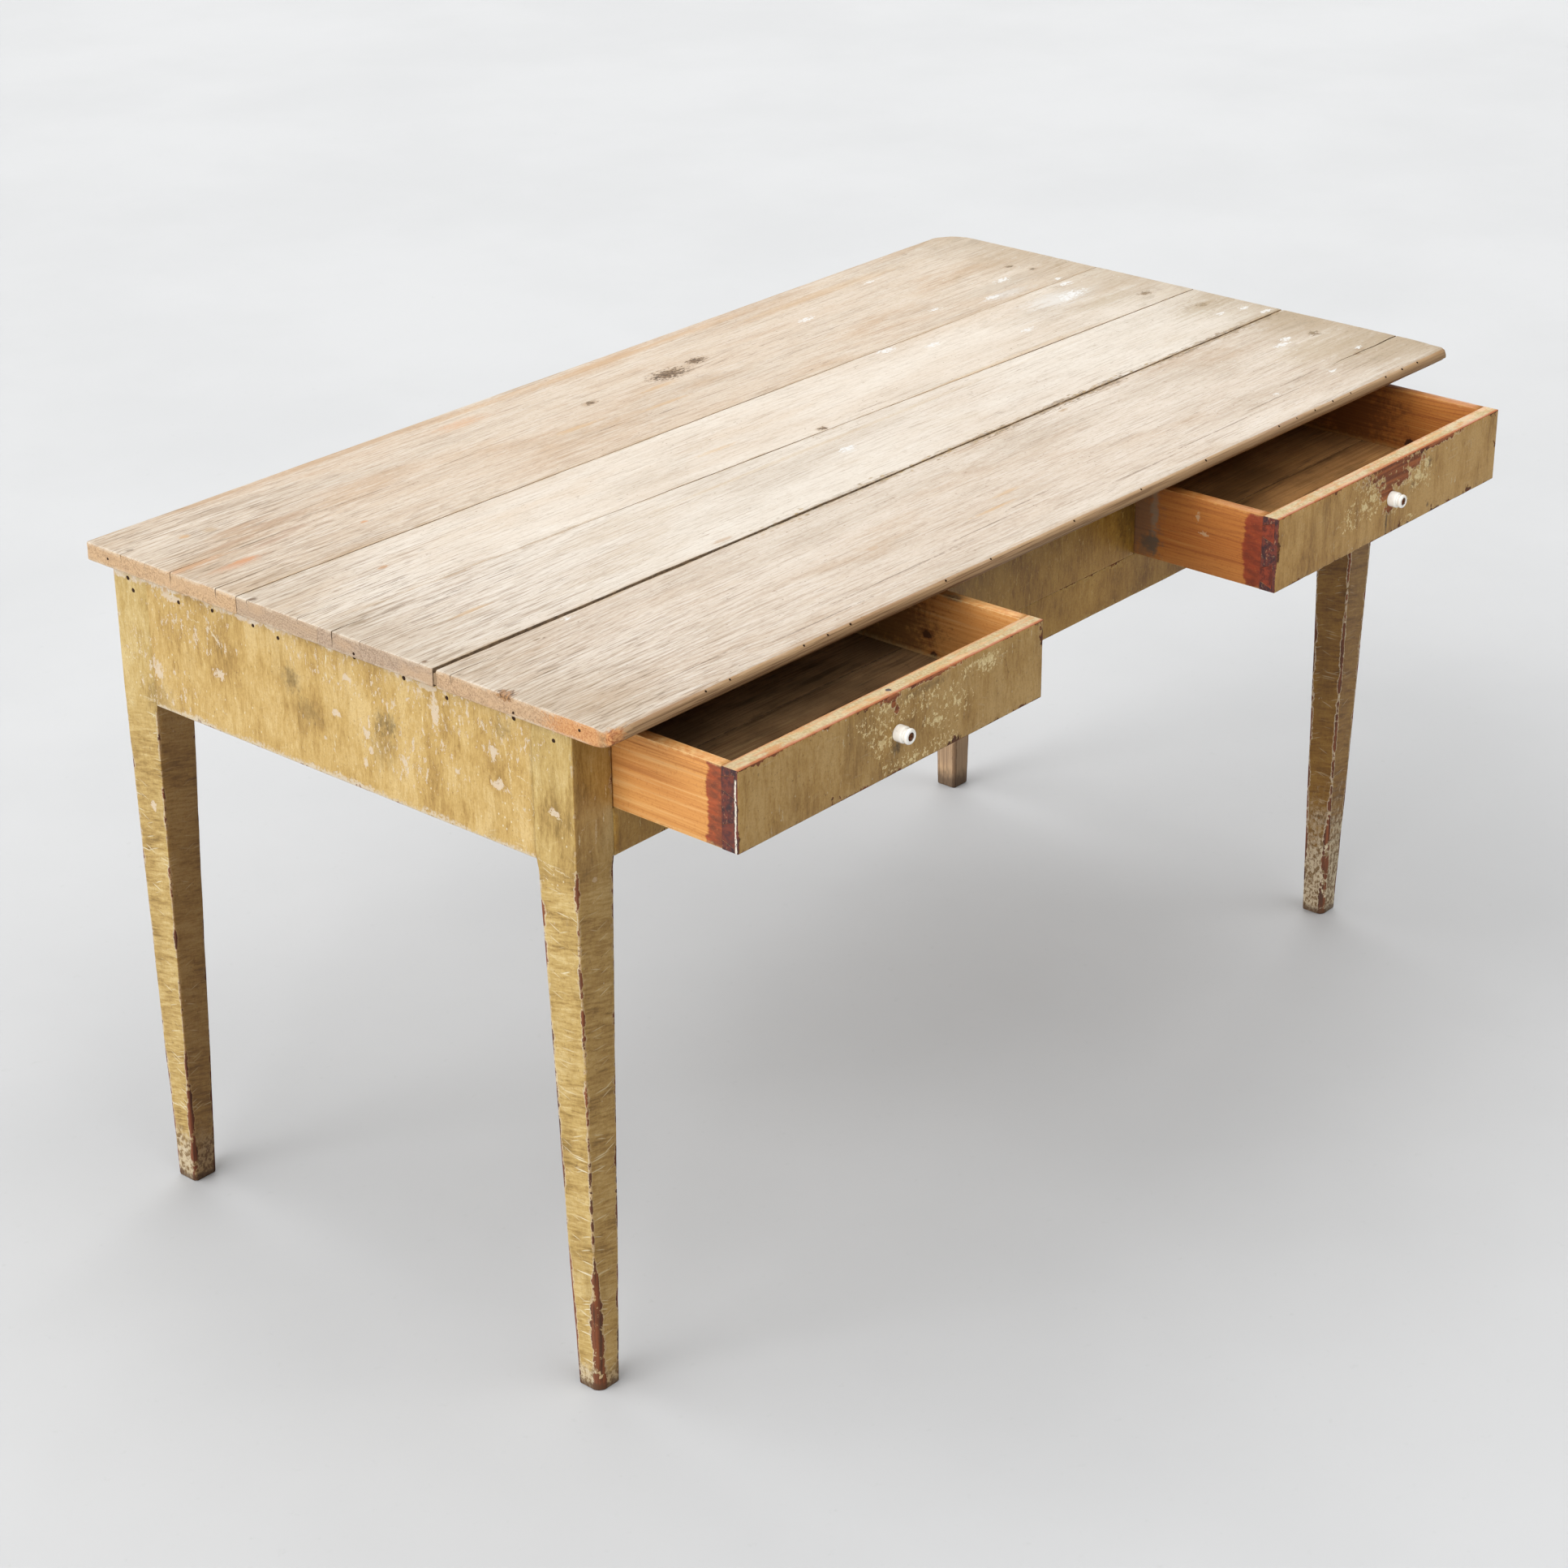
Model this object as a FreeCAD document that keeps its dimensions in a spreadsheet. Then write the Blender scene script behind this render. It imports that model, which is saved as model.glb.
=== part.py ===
import FreeCAD, Part
import os
import Sketcher

# Kitchen table with two drawers, in millimetres.
# +X runs along the long front, +Y to the back, +Z up; the floor is Z = 0.

os.makedirs("parts", exist_ok=True)
doc = FreeCAD.newDocument("kitchen_table")

# ---------------------------------------------------------------- sizes
SIZES = [
    # top
    ("height", 770.0), ("top_thk", 20.0), ("top_half", 723.0),
    ("top_front_l", -308.0), ("top_front_r", -317.0),
    ("seam_front_l", -76.3), ("seam_front_r", -80.6), ("gap_open", 4.6),
    ("seam_mid_l", 86.5), ("seam_mid_r", 52.0),
    ("seam_rear_l", 205.0), ("seam_rear_r", 201.0), ("seam_fit", 0.5),
    ("top_rear_l", 438.0), ("top_rear_r", 442.5),
    ("corner_rr", 40.0), ("corner_rl", 8.0), ("corner_fr", 18.0), ("corner_fl", 5.0),
    ("nose_up", 8.0), ("nose_low", 7.0),
    # legs
    ("leg_x", 707.2), ("leg_w", 52.2), ("leg_front", -239.3), ("leg_rear", 417.6),
    ("knee", 597.0), ("foot_w", 29.8),
    ("foot_fl_x", 1.7), ("foot_fl_y", -5.3), ("foot_rl_x", 1.2), ("foot_rl_y", 15.1),
    ("foot_fr_x", -0.3), ("foot_fr_y", 0.5), ("foot_rr_x", -4.8), ("foot_rr_y", -6.0),
    # aprons and rails
    ("apron_low", 599.0), ("apron_thk", 22.0), ("rail_thk", 24.0), ("rail_top", 649.0),
    ("upper_thk", 12.0), ("upper_deep", 50.0), ("tenon_thk", 8.0), ("tenon_long", 34.0),
    ("rail_tenon", 28.0), ("tenon_low", 10.0), ("tenon_high", 18.0), ("rail_inset", 5.0),
    ("tail_long", 30.0), ("tail_neck", 11.0), ("tail_wide", 16.0), ("fit", 0.1),
    ("panel_half", 189.6), ("tongue_high", 10.0), ("tongue_thk", 8.0), ("tongue_half", 165.0),
    # drawer carcase
    ("runner_w", 30.0), ("runner_deep", 30.0), ("guide_high", 24.0), ("guide_w", 24.0),
    ("kicker_w", 60.0), ("stop_w", 22.0), ("stop_long", 20.0), ("stop_high", 18.0), ("stop_gap", 0.6),
    ("block_long", 70.0), ("block_w", 20.0),
    # drawers
    ("drawer_gap", 1.4), ("drawer_lift", 0.6), ("drawer_high", 84.8), ("drawer_deep", 460.0),
    ("open_left", 156.8), ("open_right", 185.2),
    ("front_thk", 20.0), ("lap", 5.0), ("side_thk", 14.0), ("back_thk", 14.0),
    ("groove_deep", 6.0), ("floor_low", 4.0), ("floor_thk", 8.0), ("floor_fit", 0.2),
    ("floor_cut_a", 170.0), ("floor_cut_b", 315.0), ("floor_seam", 0.5),
    ("ta_nl", 9.9), ("ta_nh", 24.7), ("ta_wl", 3.8), ("ta_wh", 31.0),
    ("tb_nl", 61.3), ("tb_nh", 73.7), ("tb_wl", 56.0), ("tb_wh", 79.0),
    ("ra_nl", 22.0), ("ra_nh", 36.0), ("ra_wl", 19.0), ("ra_wh", 39.0),
    ("rb_nl", 59.0), ("rb_nh", 73.0), ("rb_wl", 56.0), ("rb_wh", 76.0),
    # knobs, screws, nails
    ("knob_rad", 8.75), ("knob_drum", 10.5), ("knob_neck", 12.0), ("knob_long", 17.5),
    ("neck_rad", 6.3), ("bead_rad", 8.6), ("well_rad", 4.4), ("well_floor", 13.5), ("bore_rad", 2.2),
    ("drum_round", 2.0), ("base_round", 0.8), ("bead_round", 2.2),
    ("screw_rad", 2.0), ("screw_head", 4.0), ("screw_top", 16.0), ("screw_deep", 13.0),
    ("slot_w", 1.1), ("slot_deep", 1.1), ("pilot_rad", 2.05), ("pilot_deep", 14.0),
    ("nail_rad", 1.1), ("nail_head", 2.6), ("nail_cap", 1.0), ("nail_long", 30.0),
]

sheet = doc.addObject("Spreadsheet::Sheet", "params")
VALUES = {}
for row, (alias, number) in enumerate(SIZES, start=1):
    sheet.set("A%d" % row, alias)
    sheet.set("B%d" % row, repr(number))
    sheet.setAlias("B%d" % row, alias)
    VALUES[alias] = number
doc.recompute()


class Dim:
    """A length with its value now and the text that binds it to the sheet."""

    def __init__(self, value, text):
        self.v = float(value)
        self.t = text

    def __add__(self, other):
        other = dim(other)
        return Dim(self.v + other.v, "(%s + %s)" % (self.t, other.t))

    def __radd__(self, other):
        return dim(other) + self

    def __sub__(self, other):
        other = dim(other)
        return Dim(self.v - other.v, "(%s - %s)" % (self.t, other.t))

    def __rsub__(self, other):
        return dim(other) - self

    def __mul__(self, other):
        other = dim(other)
        return Dim(self.v * other.v, "(%s * %s)" % (self.t, other.t))

    def __rmul__(self, other):
        return dim(other) * self

    def __truediv__(self, other):
        other = dim(other)
        return Dim(self.v / other.v, "(%s / %s)" % (self.t, other.t))

    def __neg__(self):
        return Dim(-self.v, "(0 - %s)" % self.t)


def dim(item):
    if isinstance(item, Dim):
        return item
    if item < 0:
        return Dim(item, "(0 - %r)" % abs(float(item)))
    return Dim(item, repr(float(item)))


def P(alias):
    return Dim(VALUES[alias], "params." + alias)


def bind(obj, prop, size):
    size = dim(size)
    setattr(obj, prop, size.v)
    obj.setExpression(prop, size.t)


def place(obj, x, y, z):
    x, y, z = dim(x), dim(y), dim(z)
    obj.Placement = FreeCAD.Placement(FreeCAD.Vector(x.v, y.v, z.v), FreeCAD.Rotation())
    obj.setExpression("Placement.Base.x", x.t)
    obj.setExpression("Placement.Base.y", y.t)
    obj.setExpression("Placement.Base.z", z.t)


NODES = []


def node(obj, label):
    obj.Label = label
    NODES.append(obj)
    return obj


# ---------------------------------------------------------------- sketch helpers
def new_body(label):
    return node(doc.addObject("PartDesign::Body", "body_" + label), label)


def sketch(body, role, lift=0):
    plane = [f for f in body.Origin.OriginFeatures if f.Role == role][0]
    sk = body.newObject("Sketcher::SketchObject", "sk_" + body.Label)
    sk.AttachmentSupport = [(plane, "")]
    sk.MapMode = "FlatFace"
    lift = dim(lift)
    sk.AttachmentOffset = FreeCAD.Placement(FreeCAD.Vector(0, 0, lift.v), FreeCAD.Rotation())
    if lift.v:
        sk.setExpression("AttachmentOffset.Base.z", lift.t)
    return sk


def pin(sk, geo, pos, x, y):
    x, y = dim(x), dim(y)
    for kind, size, axis in (("DistanceX", x, -2), ("DistanceY", y, -1)):
        if abs(size.v) < 1e-9:
            sk.addConstraint(Sketcher.Constraint("PointOnObject", geo, pos, axis))
        else:
            k = sk.addConstraint(Sketcher.Constraint(kind, -1, 1, geo, pos, size.v))
            sk.setExpression("Constraints[%d]" % k, size.t)


def polygon(sk, points):
    first = sk.GeometryCount
    count = len(points)
    vec = [FreeCAD.Vector(dim(x).v, dim(y).v, 0) for x, y in points]
    for i in range(count):
        sk.addGeometry(Part.LineSegment(vec[i], vec[(i + 1) % count]), False)
    for i in range(count):
        sk.addConstraint(Sketcher.Constraint("Coincident", first + i, 2, first + (i + 1) % count, 1))
    for i, (x, y) in enumerate(points):
        pin(sk, first + i, 1, x, y)


def rectangle(sk, x0, x1, y0, y1):
    polygon(sk, [(x0, y0), (x1, y0), (x1, y1), (x0, y1)])


def circle(sk, x, y, radius):
    x, y, radius = dim(x), dim(y), dim(radius)
    g = sk.addGeometry(Part.Circle(FreeCAD.Vector(x.v, y.v, 0), FreeCAD.Vector(0, 0, 1), radius.v), False)
    pin(sk, g, 3, x, y)
    k = sk.addConstraint(Sketcher.Constraint("Radius", g, radius.v))
    sk.setExpression("Constraints[%d]" % k, radius.t)


def pad(body, sk, length):
    feature = body.newObject("PartDesign::Pad", "pad_" + body.Label)
    feature.Profile = sk
    bind(feature, "Length", length)
    sk.Visibility = False
    return feature


def pocket(body, sk, length, reverse=False):
    doc.recompute()
    before = body.Shape.Volume
    feature = body.newObject("PartDesign::Pocket", "pocket_" + body.Label)
    feature.Profile = sk
    bind(feature, "Length", length)
    feature.Reversed = reverse
    sk.Visibility = False
    doc.recompute()
    if not body.Shape.Volume < before - 1.0:
        raise RuntimeError("a pocket of %s removes nothing" % body.Label)
    return feature


def fillet(body, radius, wanted):
    """Round the edges of the body's tip for which wanted(edge) is true."""
    doc.recompute()
    tip = body.Tip
    names = ["Edge%d" % (i + 1) for i, e in enumerate(tip.Shape.Edges) if wanted(e)]
    if not names:
        raise RuntimeError("no edge to round on %s" % body.Label)
    feature = body.newObject("PartDesign::Fillet", "round_" + body.Label)
    feature.Base = (tip, names)
    bind(feature, "Radius", radius)
    doc.recompute()
    return feature


def box(label, x0, x1, y0, y1, z0, z1, keep=True):
    x0, x1, y0, y1, z0, z1 = [dim(q) for q in (x0, x1, y0, y1, z0, z1)]
    b = doc.addObject("Part::Box", "box_" + label)
    bind(b, "Length", x1 - x0)
    bind(b, "Width", y1 - y0)
    bind(b, "Height", z1 - z0)
    place(b, x0, y0, z0)
    if keep:
        node(b, label)
    return b


# ---------------------------------------------------------------- shared levels
under = P("height") - P("top_thk")                 # underside of the top
leg_in = P("leg_x") - P("leg_w")                   # inner faces of the legs
upper_low = under - P("upper_thk")                 # underside of the front upper rail
front_gap_a = P("leg_front") + P("leg_w")          # back faces of the front legs
rear_gap_b = P("leg_rear") - P("leg_w")            # front faces of the rear legs
rail_back = P("leg_front") + P("rail_thk")
rear_in = P("leg_rear") - P("apron_thk")


# ---------------------------------------------------------------- top boards
def top_board(label, front_l, front_r, rear_l, rear_r):
    body = new_body(label)
    place(body, 0, 0, under)
    sk = sketch(body, "XY_Plane")
    polygon(sk, [(-P("top_half"), front_l), (P("top_half"), front_r),
                 (P("top_half"), rear_r), (-P("top_half"), rear_l)])
    pad(body, sk, P("top_thk"))
    return body


half_open = P("gap_open") / 2
half_fit = P("seam_fit") / 2

rear_board = top_board("top_board_rear",
                       P("seam_rear_l") + half_fit, P("seam_rear_r") + half_fit,
                       P("top_rear_l"), P("top_rear_r"))


def upright(e):
    d = e.Vertexes[-1].Point - e.Vertexes[0].Point
    return abs(d.z) > 10 and abs(d.x) < 0.01 and abs(d.y) < 0.01


fillet(rear_board, P("corner_rr"), lambda e: upright(e) and e.Vertexes[0].X > 0 and e.Vertexes[0].Y > 300)
fillet(rear_board, P("corner_rl"), lambda e: upright(e) and e.Vertexes[0].X < -700 and e.Vertexes[0].Y > 300)

top_board("top_board_mid_rear",
          P("seam_mid_l") + half_fit, P("seam_mid_r") + half_fit,
          P("seam_rear_l") - half_fit, P("seam_rear_r") - half_fit)
top_board("top_board_mid_front",
          P("seam_front_l") + half_open, P("seam_front_r") + half_open,
          P("seam_mid_l") - half_fit, P("seam_mid_r") - half_fit)

front_board = new_body("top_board_front")
place(front_board, 0, 0, under)
sk = sketch(front_board, "XY_Plane")
th, fl, fr = P("top_half"), P("corner_fl"), P("corner_fr")
polygon(sk, [(-th, P("top_front_l") + fl), (-th + fl, P("top_front_l")),
             (th - fr, P("top_front_r")), (th - fr * 0.293, P("top_front_r") + fr * 0.293),
             (th, P("top_front_r") + fr),
             (th, P("seam_front_r") - half_open), (-th, P("seam_front_l") - half_open)])
pad(front_board, sk, P("top_thk"))


def long_front(e, z):
    p = e.CenterOfMass
    return e.Length > 1000 and p.y < -250 and abs(p.z - z) < 0.1


fillet(front_board, P("nose_up"), lambda e: long_front(e, VALUES["top_thk"]))
fillet(front_board, P("nose_low"), lambda e: long_front(e, 0.0))


# ---------------------------------------------------------------- legs
def leg(label, sx, sy, foot_x, foot_y):
    """Leg about its own axis; sx and sy point to the outer faces."""
    body = new_body(label)
    half = P("leg_w") / 2
    cy = P("leg_front") + half if sy < 0 else P("leg_rear") - half
    place(body, (P("leg_x") - half) * sx, cy, 0)
    foot = sketch(body, "XY_Plane")
    f2 = P("foot_w") / 2
    rectangle(foot, foot_x - f2, foot_x + f2, foot_y - f2, foot_y + f2)
    knee = sketch(body, "XY_Plane", P("knee"))
    rectangle(knee, -half, half, -half, half)
    loft = body.newObject("PartDesign::AdditiveLoft", "taper_" + label)
    loft.Profile = foot
    loft.Sections = [knee]
    loft.Ruled = True
    square = sketch(body, "XY_Plane", P("knee"))
    rectangle(square, -half, half, -half, half)
    pad(body, square, under - P("knee"))

    def span(a, b):
        a, b = dim(a), dim(b)
        return (a, b) if a.v < b.v else (b, a)

    # mortise for the side apron: from the inner Y face, near the outer X face
    x0, x1 = span((half - (P("apron_thk") - P("tenon_thk")) / 2 + P("fit")) * sx,
                  (half - (P("apron_thk") + P("tenon_thk")) / 2 - P("fit")) * sx)
    y0, y1 = span((-half - 1) * sy, (P("tenon_long") + P("fit") - half) * sy)
    side = sketch(body, "XY_Plane", under - P("tenon_high") + P("fit"))
    rectangle(side, x0, x1, y0, y1)
    pocket(body, side, under - P("tenon_high") - P("apron_low") - P("tenon_low") + P("fit") * 2)
    # mortise for the front rail or the rear apron: from the inner X face
    thick = P("rail_thk") if sy < 0 else P("apron_thk")
    y0, y1 = span((half - (thick - P("tenon_thk")) / 2 + P("fit")) * sy,
                  (half - (thick + P("tenon_thk")) / 2 - P("fit")) * sy)
    x0, x1 = span((-half - 1) * sx, (P("rail_tenon") + P("fit") - half) * sx)
    if sy < 0:
        low, high = P("apron_low") + P("rail_inset"), P("rail_top") - P("rail_inset")
    else:
        low, high = P("apron_low") + P("tenon_low"), under - P("tenon_high")
    long = sketch(body, "XY_Plane", high + P("fit"))
    rectangle(long, x0, x1, y0, y1)
    pocket(body, long, high - low + P("fit") * 2)
    # dovetail socket for the upper rail in the top of a front leg
    if sy < 0:
        tail = sketch(body, "XY_Plane", under)
        xa, xb = (-half - 0.01) * sx, (P("tail_long") + P("fit") - half) * sx
        neck, wide = P("tail_neck") + P("fit"), P("tail_wide") + P("fit")
        polygon(tail, [(xa, -neck), (xb, -wide), (xb, wide), (xa, neck)])
        pocket(body, tail, P("upper_thk"))
    return body


leg("leg_front_left", -1, -1, P("foot_fl_x"), P("foot_fl_y"))
leg("leg_front_right", 1, -1, P("foot_fr_x"), P("foot_fr_y"))
leg("leg_rear_left", -1, 1, P("foot_rl_x"), P("foot_rl_y"))
leg("leg_rear_right", 1, 1, P("foot_rr_x"), P("foot_rr_y"))


# ---------------------------------------------------------------- aprons and rails
def side_apron(label, sx):
    body = new_body(label)
    place(body, (P("leg_x") - P("apron_thk") / 2) * sx, 0, P("apron_low"))
    t2 = P("apron_thk") / 2
    sk = sketch(body, "XY_Plane")
    rectangle(sk, -t2, t2, front_gap_a, rear_gap_b)
    pad(body, sk, under - P("apron_low"))
    n2 = P("tenon_thk") / 2
    tn = sketch(body, "XY_Plane", P("tenon_low"))
    rectangle(tn, -n2, n2, front_gap_a - P("tenon_long"), rear_gap_b + P("tenon_long"))
    pad(body, tn, under - P("apron_low") - P("tenon_low") - P("tenon_high"))
    return body


side_apron("apron_left", -1)
side_apron("apron_right", 1)

rear = new_body("apron_rear")
place(rear, 0, P("leg_rear") - P("apron_thk") / 2, P("apron_low"))
sk = sketch(rear, "XY_Plane")
rectangle(sk, -leg_in, leg_in, -P("apron_thk") / 2, P("apron_thk") / 2)
pad(rear, sk, under - P("apron_low"))
sk = sketch(rear, "XY_Plane", P("tenon_low"))
rectangle(sk, -leg_in - P("rail_tenon"), leg_in + P("rail_tenon"), -P("tenon_thk") / 2, P("tenon_thk") / 2)
pad(rear, sk, under - P("apron_low") - P("tenon_low") - P("tenon_high"))

lower = new_body("rail_front_lower")
place(lower, 0, P("leg_front") + P("rail_thk") / 2, P("apron_low"))
sk = sketch(lower, "XY_Plane")
rectangle(sk, -leg_in, leg_in, -P("rail_thk") / 2, P("rail_thk") / 2)
pad(lower, sk, P("rail_top") - P("apron_low"))
sk = sketch(lower, "XY_Plane", P("rail_inset"))
rectangle(sk, -leg_in - P("rail_tenon"), leg_in + P("rail_tenon"), -P("tenon_thk") / 2, P("tenon_thk") / 2)
pad(lower, sk, P("rail_top") - P("apron_low") - P("rail_inset") * 2)
sk = sketch(lower, "XY_Plane", P("rail_top") - P("apron_low"))
rectangle(sk, -P("tongue_half") - P("fit"), P("tongue_half") + P("fit"),
          -P("tongue_thk") / 2 - P("fit"), P("tongue_thk") / 2 + P("fit"))
pocket(lower, sk, P("tongue_high") + P("fit"))

panel = new_body("panel_front_center")
place(panel, 0, P("leg_front") + P("rail_thk") / 2, P("rail_top"))
sk = sketch(panel, "XY_Plane")
rectangle(sk, -P("panel_half"), P("panel_half"), -P("rail_thk") / 2, P("rail_thk") / 2)
pad(panel, sk, upper_low - P("rail_top"))
sk = sketch(panel, "XY_Plane", -P("tongue_high"))
rectangle(sk, -P("tongue_half"), P("tongue_half"), -P("tongue_thk") / 2, P("tongue_thk") / 2)
pad(panel, sk, P("tongue_high") + 1)

upper = new_body("rail_front_upper")
place(upper, 0, P("leg_front"), upper_low)
sk = sketch(upper, "XY_Plane")
mid = P("leg_w") / 2
neck, wide, tip = P("tail_neck"), P("tail_wide"), leg_in + P("tail_long")
polygon(sk, [(-leg_in, 0), (leg_in, 0), (leg_in, mid - neck), (tip, mid - wide), (tip, mid + wide),
             (leg_in, mid + neck), (leg_in, P("upper_deep")), (-leg_in, P("upper_deep")),
             (-leg_in, mid + neck), (-tip, mid + wide), (-tip, mid - wide), (-leg_in, mid - neck)])
pad(upper, sk, P("upper_thk"))

# ---------------------------------------------------------------- runners, guides, kickers, blocks
run_low = P("rail_top") - P("runner_deep")
run_out = leg_in - 0.5                      # outer runners stay just clear of the leg faces
box("runner_left_outer", -run_out, -run_out + P("runner_w"), rail_back, rear_in, run_low, P("rail_top"))
box("runner_right_outer", run_out - P("runner_w"), run_out, rail_back, rear_in, run_low, P("rail_top"))
run_mid = P("panel_half") - P("guide_w")
run_mid_out = P("panel_half") + P("runner_w")
box("runner_left_inner", -run_mid_out, -run_mid, rail_back, rear_in, run_low, P("rail_top"))
box("runner_right_inner", run_mid, run_mid_out, rail_back, rear_in, run_low, P("rail_top"))

apron_in = P("leg_x") - P("apron_thk")
guide_top = P("rail_top") + P("guide_high")
box("guide_left_outer", -apron_in, -leg_in, front_gap_a, rear_gap_b, P("rail_top"), guide_top)
box("guide_right_outer", leg_in, apron_in, front_gap_a, rear_gap_b, P("rail_top"), guide_top)
box("guide_left_inner", -P("panel_half"), -run_mid, rail_back, rear_in, P("rail_top"), guide_top)
box("guide_right_inner", run_mid, P("panel_half"), rail_back, rear_in, P("rail_top"), guide_top)

bay = (leg_in + P("panel_half")) / 2         # middle of each drawer bay
upper_back = P("leg_front") + P("upper_deep")
box("kicker_left", -bay - P("kicker_w") / 2, -bay + P("kicker_w") / 2, upper_back, rear_in, upper_low, under)
box("kicker_right", bay - P("kicker_w") / 2, bay + P("kicker_w") / 2, upper_back, rear_in, upper_low, under)


def group(label, members):
    g = doc.addObject("Part::Compound", "group_" + label)
    g.Links = members
    return node(g, label)


blocks = []
b2 = P("block_long") / 2
for k, y in enumerate((-60.0, 250.0)):
    blocks.append(box("block_left_%d" % k, -apron_in, -apron_in + P("block_w"), dim(y) - b2, dim(y) + b2,
                      under - P("block_w"), under, keep=False))
    blocks.append(box("block_right_%d" % k, apron_in - P("block_w"), apron_in, dim(y) - b2, dim(y) + b2,
                      under - P("block_w"), under, keep=False))
for k, x in enumerate((-90.0, 90.0)):
    blocks.append(box("block_rear_%d" % k, dim(x) - b2, dim(x) + b2, rear_in - P("block_w"), rear_in,
                      under - P("block_w"), under, keep=False))
group("glue_blocks", blocks)

stop_a = P("leg_front") + P("drawer_deep") + P("stop_gap")
stop_b = stop_a + P("stop_long")
stop_top = P("rail_top") + P("stop_high")
stops = []
for k, x0 in enumerate((-run_out + 3, -run_mid_out + 3, P("panel_half") + 4, run_out - P("runner_w") + 4)):
    stops.append(box("stop_%d" % k, x0, x0 + P("stop_w"), stop_a, stop_b, P("rail_top"), stop_top, keep=False))
group("drawer_stops", stops)


# ---------------------------------------------------------------- drawers
def tails(front, fit):
    """Outlines of the two tails in the Y-Z plane, as (y, z) corners, grown by fit."""
    deep, end = P("front_thk"), P("lap") - fit
    out = []
    for k in ("ta", "tb"):
        out.append([(deep, P(k + "_nl") - fit), (end, P(k + "_wl") - fit),
                    (end, P(k + "_wh") + fit), (deep, P(k + "_nh") + fit)])
    return out


def drawer(prefix, x0, opened):
    wide = leg_in - P("panel_half") - P("drawer_gap") * 2
    high, deep = P("drawer_high"), P("drawer_deep")
    yf = P("leg_front") - opened
    z0 = P("rail_top") + P("drawer_lift")
    side, front = P("side_thk"), P("front_thk")
    back_in = deep - P("back_thk")
    floor_top = P("floor_low") + P("floor_thk")
    groove_top = floor_top + P("floor_fit")

    # front: tail sockets from both ends, a groove for the floor and the screw hole
    body = new_body(prefix + "_front")
    place(body, x0, yf, z0)
    sk = sketch(body, "XY_Plane")
    rectangle(sk, 0, wide, 0, front)
    pad(body, sk, high)
    for outline in tails("front", P("fit")):
        outline[0] = (outline[0][0] + 1, outline[0][1])
        outline[3] = (outline[3][0] + 1, outline[3][1])
        sk = sketch(body, "YZ_Plane")
        polygon(sk, outline)
        pocket(body, sk, side, reverse=True)
        sk = sketch(body, "YZ_Plane", wide)
        polygon(sk, outline)
        pocket(body, sk, side)
    sk = sketch(body, "XY_Plane", groove_top)
    rectangle(sk, side, wide - side, front - P("groove_deep"), front + 1)
    pocket(body, sk, P("floor_thk") + P("floor_fit"))
    sk = sketch(body, "XZ_Plane")
    circle(sk, wide / 2, high / 2, P("pilot_rad"))
    pocket(body, sk, P("pilot_deep"))

    # sides: tails at both ends, a floor groove on the inner face
    for name, xs, inner in (("left", dim(0), 1), ("right", wide - side, -1)):
        body = new_body("%s_side_%s" % (prefix, name))
        place(body, x0 + xs, yf, z0)
        sk = sketch(body, "YZ_Plane")
        end, base = P("lap"), front
        polygon(sk, [
            (base, 0), (deep, 0), (deep, floor_top), (back_in, floor_top),
            (back_in, P("ra_nl")), (deep, P("ra_wl")), (deep, P("ra_wh")), (back_in, P("ra_nh")),
            (back_in, P("rb_nl")), (deep, P("rb_wl")), (deep, P("rb_wh")), (back_in, P("rb_nh")),
            (back_in, high), (base, high),
            (base, P("tb_nh")), (end, P("tb_wh")), (end, P("tb_wl")), (base, P("tb_nl")),
            (base, P("ta_nh")), (end, P("ta_wh")), (end, P("ta_wl")), (base, P("ta_nl"))])
        pad(body, sk, side)
        sk = sketch(body, "XY_Plane", groove_top)
        if inner > 0:
            rectangle(sk, side - P("groove_deep"), side + 1, base, deep + 1)
        else:
            rectangle(sk, dim(-1), P("groove_deep"), base, deep + 1)
        pocket(body, sk, P("floor_thk") + P("floor_fit"))

    # back: stands on the floor boards, pins between the rear tails
    body = new_body(prefix + "_back")
    place(body, x0, yf, z0)
    sk = sketch(body, "XY_Plane", floor_top)
    rectangle(sk, side, wide - side, back_in, deep)
    pad(body, sk, high - floor_top)
    fit = P("fit")
    for lift in (dim(0), wide - side):
        sk = sketch(body, "YZ_Plane", lift)
        polygon(sk, [(back_in, floor_top + fit), (deep, floor_top + fit), (deep, P("ra_wl") - fit), (back_in, P("ra_nl") - fit)])
        polygon(sk, [(back_in, P("ra_nh") + fit), (deep, P("ra_wh") + fit), (deep, P("rb_wl") - fit), (back_in, P("rb_nl") - fit)])
        polygon(sk, [(back_in, P("rb_nh") + fit), (deep, P("rb_wh") + fit), (deep, high), (back_in, high)])
        pad(body, sk, side)

    # floor: three boards from side to side, in the grooves
    edge = side - P("groove_deep") + P("floor_fit")
    body = new_body(prefix + "_floor_front")
    place(body, x0, yf, z0 + P("floor_low"))
    sk = sketch(body, "XY_Plane")
    nose = front - P("groove_deep") + P("floor_fit")
    polygon(sk, [(side + P("floor_fit"), nose), (wide - side - P("floor_fit"), nose),
                 (wide - side - P("floor_fit"), front + P("floor_fit")), (wide - edge, front + P("floor_fit")),
                 (wide - edge, P("floor_cut_a")), (edge, P("floor_cut_a")),
                 (edge, front + P("floor_fit")), (side + P("floor_fit"), front + P("floor_fit"))])
    pad(body, sk, P("floor_thk"))
    for name, a, b in (("mid", P("floor_cut_a") + P("floor_seam"), P("floor_cut_b")),
                       ("rear", P("floor_cut_b") + P("floor_seam"), deep)):
        box("%s_floor_%s" % (prefix, name), x0 + edge, x0 + wide - edge, yf + a, yf + b,
            z0 + P("floor_low"), z0 + floor_top)

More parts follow.
